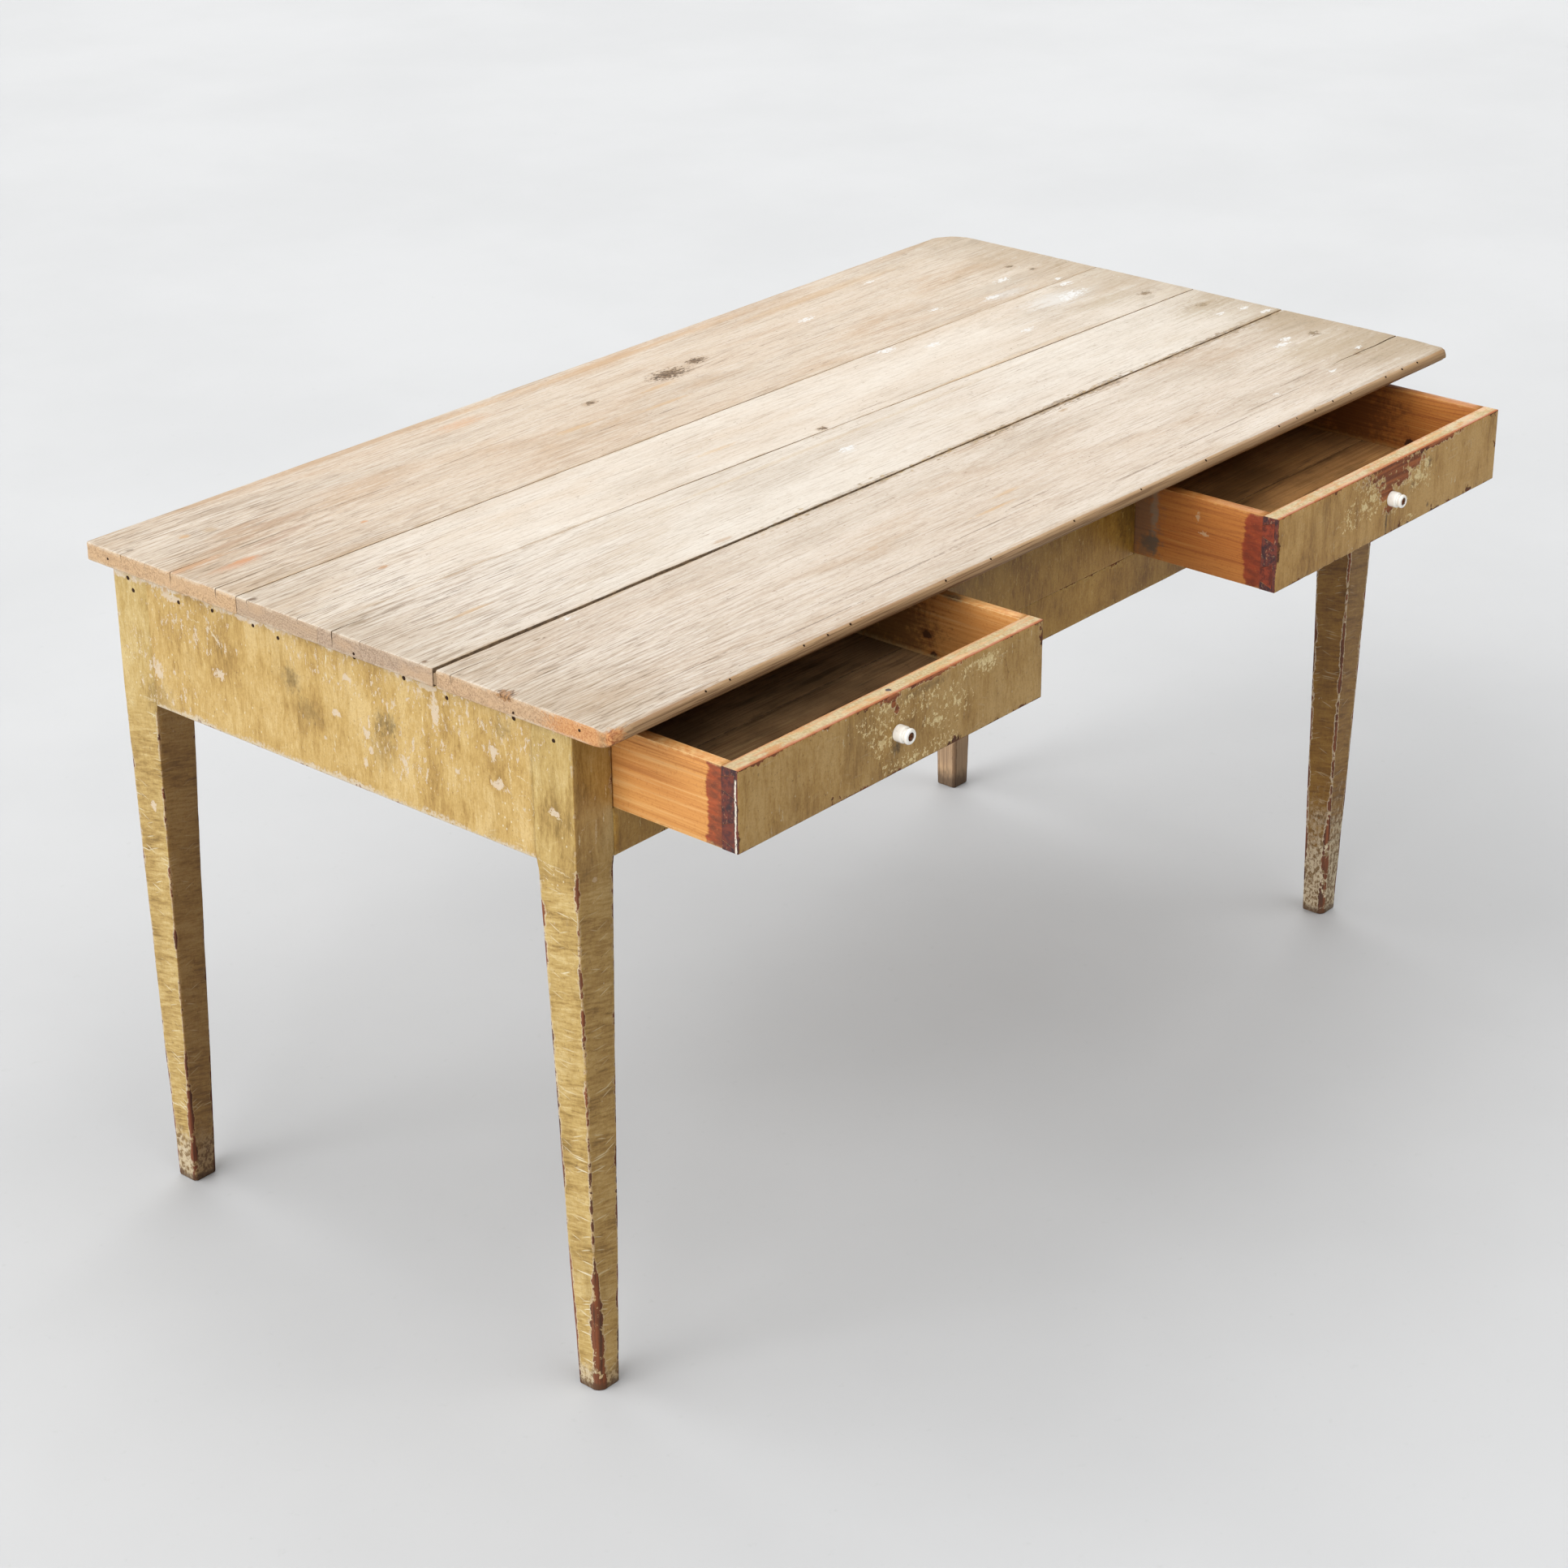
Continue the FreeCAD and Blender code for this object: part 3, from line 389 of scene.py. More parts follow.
def ochre(name, seed=0.0, chips=(), specks=(), smudges=(), rusts=(), scars=(), legs=True, raw=None, chipping=0.0, tint=(1.0, 1.0, 1.0),
          front=(1.0, 0.88, 0.70), strip=False, face=None, white=0.0, foot=0.075, prime=1.0, lift=0.0, holes=(), hold=0.0, scratchy=1.0):
    """Old ochre paint, brushed upright on the boards and in waves on the legs, over pale primer over red wood.
    raw names the side of a board that was never painted, as a unit normal. face is the Y of a drawer front's face."""
    m = Mat(name, 0.5, 0.32)
    shift = (seed * 5.3, seed * 2.9, seed * 7.7)
    warp = m.noise(m.at((30, 30, 30), shift), 2, 0.5, colour=True)
    W = m.vec("ADD", m.P, m.vec("MULTIPLY", m.vec("SUBTRACT", warp, (0.5, 0.5, 0.5)), (0.012, 0.012, 0.008)))
    fray = m.noise(m.at((260, 260, 260), shift), 2, 0.5, colour=True)
    F = m.vec("ADD", m.P, m.vec("MULTIPLY", m.vec("SUBTRACT", fray, (0.5, 0.5, 0.5)), (0.005, 0.005, 0.005)))
    broad = m.noise(m.at((6, 6, 4.5), shift), 3, 0.55)
    mottle = m.noise(m.at((24, 24, 13), shift), 5, 0.64)
    brush = m.noise(m.at((95, 95, 8), shift, W), 4, 0.65)
    fine = m.noise(m.at((380, 380, 45), shift, W), 3, 0.7)
    cloth = m.noise(m.at((460, 460, 420), shift), 3, 0.65)
    tear = m.noise(m.at((170, 170, 130), shift), 4, 0.65)
    tiny = m.noise(m.at((330, 330, 250), shift), 3, 0.65)
    fx, fy, fz = m.normal()
    h = m.add(m.x, m.y)
    tone = m.add(m.mul(mottle, 0.56), m.add(m.mul(broad, 0.24), m.mul(brush, 0.20 if legs else 0.30)))
    grit = m.noise(m.at((270, 270, 150), (seed * 3.3, 1.0, 6.0)), 2, 0.6)
    tone = m.add(tone, m.add(centred(m, fine, 0.34), centred(m, grit, 0.14)))
    low = m.step(m.z, 0.625, 0.555) if legs else 0.0
    if legs:
        slant = m.comb(m.x, m.y, m.mad(h, 0.22, m.z))
        wave = m.noise(m.at((12, 12, 50), shift, m.vec("ADD", slant, m.vec("MULTIPLY", warp, (0.02, 0.02, 0.02)))), 4, 0.6, 0.4)
        wave2 = m.noise(m.at((45, 45, 220), shift, slant), 3, 0.65)
        tone_l = m.add(m.add(m.mul(wave, 0.42), m.mul(mottle, 0.26)), m.add(m.mul(wave2, 0.34), centred(m, broad, 0.18)))
        level_fine = m.noise(m.at((48, 48, 420), shift, slant), 3, 0.65)
        tone_l = m.add(tone_l, m.add(centred(m, level_fine, 0.42), centred(m, grit, 0.12)))
        tone = m.add(m.mul(m.add(tone, lift), m.sub(1.0, low)), m.mul(tone_l, low))
    col = m.ramp(tone, [(0.35, C(152, 120, 58)), (0.44, C(190, 155, 86)), (0.52, C(213, 180, 108)), (0.63, C(231, 203, 140))])
    col = m.mix(m.mul(m.step(cloth, 0.44, 0.68), 0.26), col, C(158, 124, 68))
    col = m.mix(m.mul(m.step(tiny, 0.63, 0.69), 0.50), col, C(124, 92, 46))
    olive = m.noise(m.at((17, 17, 9), (seed, 3.0, 1.0)), 4, 0.6)
    col = m.mix(m.mul(m.step(olive, 0.50, 0.72), m.mul(m.step(brush, 0.66, 0.34), 0.40)), col, C(150, 120, 62))
    for c, r, amount in smudges:
        s = m.step(m.add(near(m, c, r), m.add(centred(m, tear, 2.2), centred(m, brush, 1.4))), 0.0, 0.9)
        col = m.mix(m.mul(s, amount), col, m.mix(m.step(tiny, 0.42, 0.6), C(132, 112, 70), C(92, 74, 44)))
    # tint multiplies the paint; on the front right leg and the right apron it is a painted shade
    if tuple(tint) != (1.0, 1.0, 1.0):
        col = m.mix(1.0, col, tuple(tint) + (1,), "MULTIPLY")
    # painted shade: faces that look along Y are multiplied by the front tint, darker and browner, standing in for the
    # weaker light they get; on the boards this comes before the chips
    shade = m.step(m.math("ABSOLUTE", fy), 0.3, 0.7)
    if not legs:
        col = m.mix(shade, col, m.mix(1.0, col, tuple(front) + (1,), "MULTIPLY"))
    # fine pale scratches: upright on the boards, level and slanting on the legs
    level = m.mad(m.z, 1.0, m.mul(centred(m, broad, 0.02), 1.0))

    def strokes(slope, along, thin, width, keep, k):
        return m.dashes((along, 1, thin), width, keep, (k * 3.1 + seed, 0.0, k * 1.7), m.comb(h, k, m.mad(h, slope, level)))

    up = m.most(m.dashes((260, 260, 30), 0.27, 0.30, shift, F), m.dashes((115, 115, 10), 0.11, 0.30, (7.0, 1.0, seed), W))
    group = m.step(m.noise(m.at((13, 13, 9), (4.0, seed, 8.0)), 4, 0.6), 0.44, 0.64)
    flat = m.most(strokes(0.0, 22, 280, 0.30, 0.30, 1.0), strokes(0.45, 34, 300, 0.28, 0.26, 2.0), strokes(-0.38, 28, 290, 0.28, 0.26, 3.0))
    if legs:
        worn_low = m.step(m.z, 0.34, 0.05)
        scratch = m.add(m.mul(m.mul(up, m.mad(group, 0.85, 0.24)), m.sub(1.0, m.mul(low, 0.85))),
                        m.mul(m.mul(flat, m.add(m.mad(group, 0.75, 0.42), m.mul(worn_low, 0.4))), m.mad(low, 0.92, 0.08)))
    else:
        scratch = m.add(m.mul(up, m.mad(group, 0.55, 0.08)), m.mul(m.mul(flat, group), 0.18))
    col = m.mix(m.mul(m.math("MINIMUM", scratch, 1.0), 0.92 * scratchy), col, C(250, 238, 202))
    pecks = m.dashes((150, 150, 105), 0.17, 0.11, (seed, 9.0, 4.0))
    col = m.mix(m.mul(pecks, m.mad(group, 0.6 * scratchy, 0.25 * scratchy)), col, C(252, 242, 212))
    for (ax, ay, az), (bx, by, bz), wide in scars:
        a, b = Vector((ax, ay, az)), Vector((bx, by, bz))
        mid_, axis = (a + b) / 2, (b - a)
        rel = m.vec("SUBTRACT", F, tuple(mid_))
        t = m.math("MULTIPLY", m.vec("DOT_PRODUCT", rel, tuple(axis)), 1 / axis.length_squared)
        t = m.math("MINIMUM", m.math("MAXIMUM", t, -0.5), 0.5)
        foot_ = m.vec("MULTIPLY", m.comb(t, t, t), tuple(axis))
        d = m.vec("LENGTH", m.vec("SUBTRACT", rel, foot_))
        col = m.mix(m.mul(m.step(m.add(d, centred(m, tiny, wide * 1.2)), wide, wide * 0.3), 0.75), col, C(240, 222, 184))
    # chips down to primer, ragged and broken up
    dense = m.step(m.noise(m.at((13, 13, 13), (1.0, 6.0, seed)), 4, 0.6), 0.40, 0.75, -1.25, -0.30 + 0.35 * chipping)
    if chips:
        dense = m.most(dense, nearest(m, chips))
    flake = m.step(m.add(dense, m.add(centred(m, tear, 2.8), centred(m, tiny, 1.2))), 0.24, 0.38)
    nick = m.noise(m.at((250, 250, 95) if legs else (270, 270, 200), shift, F), 3, 0.65)
    peck = m.step(m.noise(m.at((30, 30, 24), (3.0, 2.0, seed)), 3, 0.6), 0.46, 0.70, -1.4, -0.50 + 0.55 * chipping)
    if specks:
        cluster = m.noise(m.at((75, 75, 55), (5.0, seed, 2.0)), 3, 0.6)
        peck = m.most(peck, m.math("MINIMUM", m.add(m.mul(nearest(m, specks), 1.0), centred(m, cluster, 1.9)), 0.02 if legs else 0.12))
    flake = m.most(flake, m.step(m.add(peck, centred(m, nick, 3.4)), 0.30, 0.44 if legs else 0.38))
    col = m.mix(m.mul(flake, 0.86), col, m.mix(m.step(tiny, 0.40, 0.60), PRIMER, PINK) if legs else m.mix(m.step(tiny, 0.40, 0.60), C(292, 268, 206), C(256, 224, 160)))
    col = m.mix(m.mul(m.mul(flake, m.step(tiny, 0.42, 0.34)), 0.45), col, C(178, 130, 86))
    bare = 0.0
    grainy = m.noise(m.at((10, 240, 240) if not legs else (240, 240, 10), shift), 3, 0.65)
    if rusts:
        field = nearest(m, rusts)
        bare = m.step(m.add(field, m.add(centred(m, tear, 2.8), centred(m, tiny, 1.0))), 0.10, 0.22)
        rim = m.mul(m.step(m.add(field, centred(m, tear, 2.8)), -0.22, -0.02), m.step(tiny, 0.42, 0.56))
        col = m.mix(m.mul(rim, 0.7), col, C(262, 240, 190))
        col = m.mix(m.mul(bare, 0.94), col, m.mix(m.step(grainy, 0.36, 0.64), C(196, 110, 62), C(138, 68, 40)))
    # worn edges: primer first, then red wood
    wear = m.attr("wear")
    patchy = m.noise(m.at((42, 42, 34), shift), 4, 0.65)
    rub = m.add(wear, m.add(centred(m, tear, 1.2), centred(m, patchy, 2.5)))
    if hold:
        rub = m.sub(rub, m.mul(m.step(m.z, 0.13, 0.19), hold))
    prim = m.step(rub, 0.50, 0.66)
    wood = m.step(rub, 0.84 - 0.30 * (1 - prime), 0.98 - 0.30 * (1 - prime))
    woodcol = m.mix(m.step(grainy, 0.35, 0.7), C(144, 76, 42), C(76, 42, 30))
    col = m.mix(m.mul(prim, 0.85 * prime), col, m.mix(m.step(tiny, 0.4, 0.6), PRIMER, C(212, 188, 152)))
    col = m.mix(m.mul(wood, 0.95), col, woodcol)
    # a rubbed strip under the table top
    if strip:
        s = m.step(m.add(m.mad(m.y, 0.012, m.z), m.add(centred(m, tear, 0.022), centred(m, mottle, 0.026))), 0.7400, 0.7416)
        s = m.mul(s, m.step(m.math("ABSOLUTE", fx), 0.5, 0.8))
        col = m.mix(m.mul(s, m.step(patchy, 0.36, 0.54, 0.25, 0.84)), col, m.mix(m.step(brush, 0.52, 0.64), m.mix(m.step(tiny, 0.4, 0.6), C(250, 238, 218), PINK), C(224, 184, 136)))
        s2 = m.step(m.add(m.z, m.add(centred(m, tear, 0.020), centred(m, mottle, 0.020))), 0.6055, 0.6005)
        s2 = m.mul(m.mul(s2, 1.0 if raw is not None else 0.0), m.step(m.math("ABSOLUTE", fx), 0.5, 0.8))
        col = m.mix(m.mul(s2, m.mul(m.step(tiny, 0.36, 0.52), 0.8)), col, PRIMER)
    # feet: paint scuffed off to primer and dirt
    if legs:
        f = m.step(m.add(m.z, m.add(centred(m, tear, foot * 1.3), centred(m, patchy, foot * 1.5))), foot * 1.45, foot * 0.55)
        scuff = m.mix(m.step(m.noise(m.at((230, 230, 150), shift), 3, 0.7), 0.44, 0.58), C(224, 206, 174), C(128, 98, 62))
        col = m.mix(m.mul(m.mul(f, m.sub(1.0, wood)), 0.85), col, scuff)
        col = m.mix(m.mul(m.step(m.add(m.z, centred(m, tear, 0.016)), 0.012, 0.004), 0.8), col, C(98, 70, 48))
    if face is not None:
        d = m.sub(m.y, face)
        jag = m.add(d, centred(m, tear, 0.004))
        ends = m.mix(m.step(tear, 0.38, 0.62), C(122, 58, 44), C(66, 42, 44))
        ends = m.mix(m.mul(m.step(tiny, 0.60, 0.66), 0.5), ends, C(206, 160, 120))
        if white:
            w = m.mul(m.step(jag, 0.0020, 0.0026), m.step(jag, 0.0046, 0.0038))
            w = m.mul(w, m.mul(m.step(m.x, 0.0, -0.4) if white < 0 else m.step(m.x, 0.0, 0.4), m.step(m.z, 0.726, 0.722)))
            ends = m.mix(m.mul(w, m.step(tiny, 0.34, 0.46)), ends, C(250, 240, 222))
        col = m.mix(m.step(m.math("ABSOLUTE", fx), 0.6, 0.85), col, ends)
        along = m.noise(m.at((9, 230, 230), shift), 4, 0.65)
        bare_top = m.mix(m.step(along, 0.36, 0.66), C(230, 186, 130), C(210, 154, 98))
        rem = m.noise(m.at((26, 150, 150), (seed, 1.0, 4.0)), 4, 0.68)
        rem = m.mul(m.step(rem, 0.43, 0.50), m.mul(m.step(jag, 0.0030, 0.0050), m.step(jag, 0.0185, 0.0160)))
        bare_top = m.mix(m.mul(rem, 0.80), bare_top, m.mix(m.step(tiny, 0.4, 0.6), C(218, 202, 154), C(194, 172, 122)))
        bare_top = m.mix(m.mul(m.step(jag, 0.0042, 0.0022), 0.8), bare_top, C(196, 104, 58))
        bare_top = m.mix(m.mul(m.step(jag, 0.0172, 0.0190), 0.55), bare_top, C(206, 128, 74))
        for c, r in holes:
            bare_top = m.mix(m.step(m.add(near(m, c, (r, r, r)), centred(m, tiny, 0.8)), 0.05, 0.35), bare_top, C(52, 30, 24))
        col = m.mix(m.step(fz, 0.45, 0.75), col, bare_top)
    # painted shade: on the legs the front tint darkens the faces that look along Y, applied last
    if legs:
        col = m.mix(shade, col, m.mix(1.0, col, tuple(front) + (1,), "MULTIPLY"))
    if raw is not None:
        side = m.add(m.add(m.mul(fx, raw[0]), m.mul(fy, raw[1])), m.mul(fz, raw[2]))
        grain = m.noise(m.at((5 if abs(raw[0]) < 0.5 else 160, 5 if abs(raw[1]) < 0.5 else 160, 160), shift), 4, 0.65)
        col = m.mix(m.step(side, 0.5, 0.8), col, m.mix(m.step(grain, 0.35, 0.68), C(206, 164, 112), C(146, 102, 62)))
    height = m.sub(m.mul(cloth, 0.18), m.add(m.mul(scratch, 0.5), m.mul(m.most(flake, prim, bare), 0.8)))
    height = m.add(height, m.mul(fine, 0.25))
    return m.finish(col, m.step(m.most(flake, prim, wood, bare), 0.0, 1.0, 0.46, 0.8), height, 0.45, 0.0005)


def bare_leg(name, seed):
    """A leg rubbed down to brown, grey-streaked wood."""
    m = Mat(name, 0.72, 0.25)
    shift = (seed, seed * 3.1, 2.0)
    grain = m.noise(m.at((190, 190, 7), shift), 4, 0.68)
    lines = m.noise(m.at((330, 330, 5), shift), 3, 0.6)
    patch = m.noise(m.at((22, 22, 12), shift), 4, 0.6)
    tear = m.noise(m.at((170, 170, 60), shift), 4, 0.65)
    # the colours are kept light, a painted light that lifts this leg out of the shade it stands in
    col = m.mix(m.step(patch, 0.36, 0.64), C(236, 196, 150), C(204, 170, 134))
    col = m.mix(m.mul(m.step(grain, 0.48, 0.72), 0.6), col, C(138, 108, 82))
    col = m.mix(m.mul(m.step(lines, 0.60, 0.68), 0.6), col, C(64, 46, 34))
    col = m.mix(m.mul(m.step(grain, 0.42, 0.28), 0.5), col, C(206, 180, 146))
    old = m.step(m.add(m.z, m.add(centred(m, patch, 0.5), centred(m, tear, 0.3))), 0.30, 0.48)
    col = m.mix(m.mul(old, 0.85), col, m.mix(m.step(patch, 0.4, 0.6), C(176, 146, 86), C(140, 112, 60)))
    col = m.mix(m.mul(m.step(m.add(m.attr("wear"), centred(m, tear, 1.4)), 0.7, 1.0), 0.6), col, C(120, 82, 52))
    col = m.mix(m.mul(m.step(m.add(m.z, centred(m, tear, 0.03)), 0.030, 0.006), 0.75), col, C(70, 54, 44))
    return m.finish(col, m.step(grain, 0.3, 0.7, 0.62, 0.85), m.sub(grain, lines), 0.5, 0.0006)


def drawer_wood(name, seed, axis, a=C(240, 180, 104), b=C(226, 156, 84), c=C(176, 106, 52), gain=(1.0, 1.0, 1.0), knots=(), grey=(), age=0.0,
                front_y=None, middle_x=0.0, reach=(0.02, 0.0), reds=(C(176, 76, 34), C(104, 36, 22)), tails=(C(128, 58, 38), C(70, 30, 26)), marks=(), ragged=1.0, rim=C(252, 214, 152)):
    """Raw pine. axis is the grain's direction: 0 for X, 1 for Y. front_y is the back of the drawer front,
    where a ragged band of old red paint begins on the outer faces, reach wide and bulging by its second value."""
    m = Mat(name, 0.55, 0.3)
    shift = (seed * 2.3, seed * 8.1, seed * 4.7)

    def lay(thin, long):
        s = [thin] * 3
        s[axis] = long
        return tuple(s)

    across = m.z if axis == 1 else m.y
    for (kx, ky, kz), r in knots:
        v = m.vec("DIVIDE", m.vec("SUBTRACT", m.P, (kx, ky, kz)), tuple(r * (6 if i == axis else 3) for i in range(3)))
        close = m.step(m.vec("LENGTH", v), 1.3, 0.0)
        across = m.add(across, m.mul(m.mul(m.sub(kz if axis == 1 else ky, across), close), 0.5))
    wander = m.noise(m.at(lay(12, 1.5), shift), 2, 0.5)
    ring = m.mad(across, 230.0, m.mul(wander, 16.0))
    saw = m.math("FRACT", ring)
    late = m.mul(m.step(saw, 0.45, 0.88), m.step(saw, 1.0, 0.92))
    zone = m.step(m.noise(m.at(lay(24, 2.2), (seed, 2.0, 9.0)), 3, 0.55), 0.38, 0.64)
    fibre = m.noise(m.at(lay(260, 5), shift), 4, 0.65)
    field = m.noise(m.at(lay(9, 1.2), shift), 4, 0.6)
    tear = m.noise(m.at((150, 150, 150), shift), 4, 0.65)
    tiny = m.noise(m.at((320, 320, 320), shift), 3, 0.65)
    col = m.mix(m.step(field, 0.35, 0.66), a, b)
    col = m.mix(m.mul(late, m.mad(zone, 0.42, 0.10)), col, c)
    col = m.mix(m.mul(m.step(fibre, 0.50, 0.68), 0.56), col, c)
    col = m.mix(m.mul(m.step(tiny, 0.54, 0.66), 0.28), col, c)
    col = m.mix(m.mul(m.step(fibre, 0.46, 0.30), 0.42), col, C(252, 208, 144))
    col = m.mix(m.mul(m.dashes(lay(420, 18), 0.24, 0.12, shift), 0.5), col, C(120, 70, 34))
    if age:
        patch = m.noise(m.at((7, 9, 9), shift), 5, 0.62)
        stain = m.noise(m.at(lay(60, 9), (seed, 7.0, 1.0)), 4, 0.65)
        col = m.mix(m.mul(m.step(patch, 0.36, 0.66), age), col, C(112, 82, 52))
        col = m.mix(m.mul(m.step(stain, 0.52, 0.70), age), col, C(84, 60, 38))
        col = m.mix(m.mul(m.step(tear, 0.64, 0.72), age * 0.7), col, C(58, 42, 30))
    for k, r in knots:
        col = m.mix(m.mul(m.step(m.add(near(m, k, (r * 2.0, r * 2.0, r * 1.7)), centred(m, fibre, 1.6)), 0.0, 0.7), 0.5), col, C(158, 88, 42))
        col = m.mix(m.mul(m.step(m.add(near(m, k, (r, r, r * 0.8)), centred(m, tear, 1.2)), 0.05, 0.35), 0.9), col, C(66, 36, 20))
    # grey spots: grey weathering and dark marks; the long dark brown ones on the inner right sides, towards the back,
    # are painted shade
    for k, r, amount, tint in grey:
        col = m.mix(m.mul(m.step(m.add(near(m, k, r), m.add(centred(m, tear, 1.8), centred(m, fibre, 0.8))), 0.0, 0.7), amount), col, tint)
    for k, r in marks:
        col = m.mix(m.mul(m.step(m.add(near(m, k, r), centred(m, tiny, 2.6)), 0.25, 0.5), 0.75), col, C(246, 232, 214))
    if front_y is not None:
        nx, ny, nz = m.normal()
        outer = m.mul(m.math("SIGN", m.sub(m.x, middle_x)), nx)
        outer = m.step(outer, 0.55, 0.85)
        d = m.sub(m.y, front_y)
        arch = m.math("SQRT", m.math("MAXIMUM", m.sub(1.0, m.math("POWER", m.mul(m.sub(m.z, 0.692), 1 / 0.050), 2.0)), 0.0))
        wide = m.mad(arch, reach[1], reach[0])
        wide = m.add(wide, m.add(m.mul(m.sub(m.noise(m.at((1, 1, 46), shift), 2, 0.5), 0.5), 0.022 * ragged), m.add(centred(m, tear, 0.007), centred(m, fibre, 0.009))))
        red = m.mul(m.step(m.sub(wide, d), -0.0015, 0.0022), outer)
        redcol = m.mix(m.step(m.noise(m.at((90, 50, 120), shift), 4, 0.65), 0.36, 0.64), reds[0], reds[1])
        redcol = m.mix(m.mul(m.step(tiny, 0.62, 0.70), 0.40), redcol, C(226, 140, 84))
        redcol = m.mix(m.mul(m.step(m.sub(wide, d), 0.006, 0.0), 0.4), redcol, reds[0])
        col = m.mix(m.mul(red, 0.93), col, redcol)
        joint = m.mul(m.step(d, 0.0012, -0.0004), outer)
        col = m.mix(m.mul(joint, 0.92), col, m.mix(m.step(tear, 0.38, 0.62), tails[0], tails[1]))
    wear = m.attr("wear")
    col = m.mix(m.mul(m.step(m.add(wear, centred(m, tear, 0.9)), 0.50, 0.85), 0.62), col, rim)
    # gain multiplies the colour; on the right drawer's sides it is a painted shade and on the drawer floors a painted
    # light
    if tuple(gain) != (1.0, 1.0, 1.0):
        col = m.mix(1.0, col, tuple(gain) + (1,), "MULTIPLY")
    hgt = m.add(m.mul(fibre, 0.5), m.mul(late, 0.35))
    return m.finish(col, m.step(fibre, 0.3, 0.7, 0.5, 0.66), hgt, 0.35, 0.0004)


def plain_pine(name, seed, axis):
    """Unfinished wood for the hidden pieces."""
    m = Mat(name, 0.75, 0.25)
    s = [170.0] * 3
    s[axis] = 4.0
    fibre = m.noise(m.at(tuple(s), (seed, seed * 2, 1)), 4, 0.65)
    field = m.noise(m.at((6, 6, 6), (seed, 1, 2)), 3, 0.6)
    col = m.mix(m.step(field, 0.35, 0.65), C(208, 166, 112), C(178, 134, 84))
    col = m.mix(m.mul(m.step(fibre, 0.48, 0.75), 0.5), col, C(132, 92, 54))
    tear = m.noise(m.at((60, 60, 60), (seed, 0, 3)), 4, 0.65)
    col = m.mix(m.mul(m.step(m.add(m.attr("wear"), centred(m, tear, 0.8)), 0.5, 0.9), 0.4), col, C(228, 192, 140))
    return m.finish(col, m.step(fibre, 0.3, 0.7, 0.65, 0.85), fibre, 0.4, 0.0005)


def porcelain(name, seed):
    m = Mat(name, 0.18, 0.5)
    cloud = m.noise(m.at((90, 90, 90), (seed, 1, 1)), 3, 0.6)
    col = m.mix(m.step(cloud, 0.35, 0.7), C(304, 301, 292), C(288, 281, 268))
    speck = m.noise(m.at((420, 420, 420), (seed, 5, 2)), 3, 0.6)
    col = m.mix(m.mul(m.step(speck, 0.68, 0.74), 0.8), col, C(120, 92, 62))
    wear = m.attr("wear")
    col = m.mix(m.mul(m.step(m.add(wear, centred(m, speck, 0.9)), 0.45, 0.9), 0.85), col, C(132, 86, 50))
    m.bsdf.inputs["Coat Weight"].default_value = 0.4
    m.bsdf.inputs["Coat Roughness"].default_value = 0.08
    return m.finish(col, m.step(cloud, 0.3, 0.7, 0.14, 0.3), cloud, 0.08, 0.0003)


def rust(name, seed, dark=1.0):
    m = Mat(name, 0.85, 0.15)
    n = m.noise(m.at((900, 900, 900), (seed, 2, 3)), 4, 0.65)
    big = m.noise(m.at((260, 260, 260), (seed, 7, 3)), 3, 0.6)
    col = m.mix(m.step(n, 0.35, 0.65), C(150 * dark, 88 * dark, 48 * dark), C(84 * dark, 54 * dark, 38 * dark))
    col = m.mix(m.mul(m.step(big, 0.55, 0.7), 0.6), col, C(178 * dark, 108 * dark, 60 * dark))
    m.bsdf.inputs["Metallic"].default_value = 0.0
    return m.finish(col, m.step(n, 0.3, 0.7, 0.55, 0.9), n, 0.5, 0.0003)


# ---------------------------------------------------------------- meshes
def add_piece(name, verts, faces, material, body, nodes, attrs=None, sharp=40.0, normals=None):
    me = bpy.data.meshes.new(name)
    me.from_pydata([tuple(v) for v in verts], [], faces)
    me.validate()
    for key, values in (attrs or {}).items():
        a = me.attributes.new(key, "FLOAT", "POINT")
        a.data.foreach_set("value", np.asarray(values, np.float32))
    return dress(me, name, material, body, nodes, sharp)


def dress(me, name, material, body, nodes, sharp=40.0):
    me.materials.clear()
    me.materials.append(material)
    bm = bmesh.new()
    bm.from_mesh(me)
    bmesh.ops.recalc_face_normals(bm, faces=bm.faces)
    bm.to_mesh(me)
    bm.free()
    me.shade_smooth()
    me.set_sharp_from_angle(angle=math.radians(sharp))
    ob = bpy.data.objects.new(name, me)
    bpy.context.scene.collection.objects.link(ob)
    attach(ob, body)
    if nodes:
        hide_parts(*nodes)
    return ob


def sharp_edges(bm, degrees=30):
    out = []
    for e in bm.edges:
        if len(e.link_faces) == 2 and e.calc_face_angle(0) > math.radians(degrees):
            out.append(e)
    return out


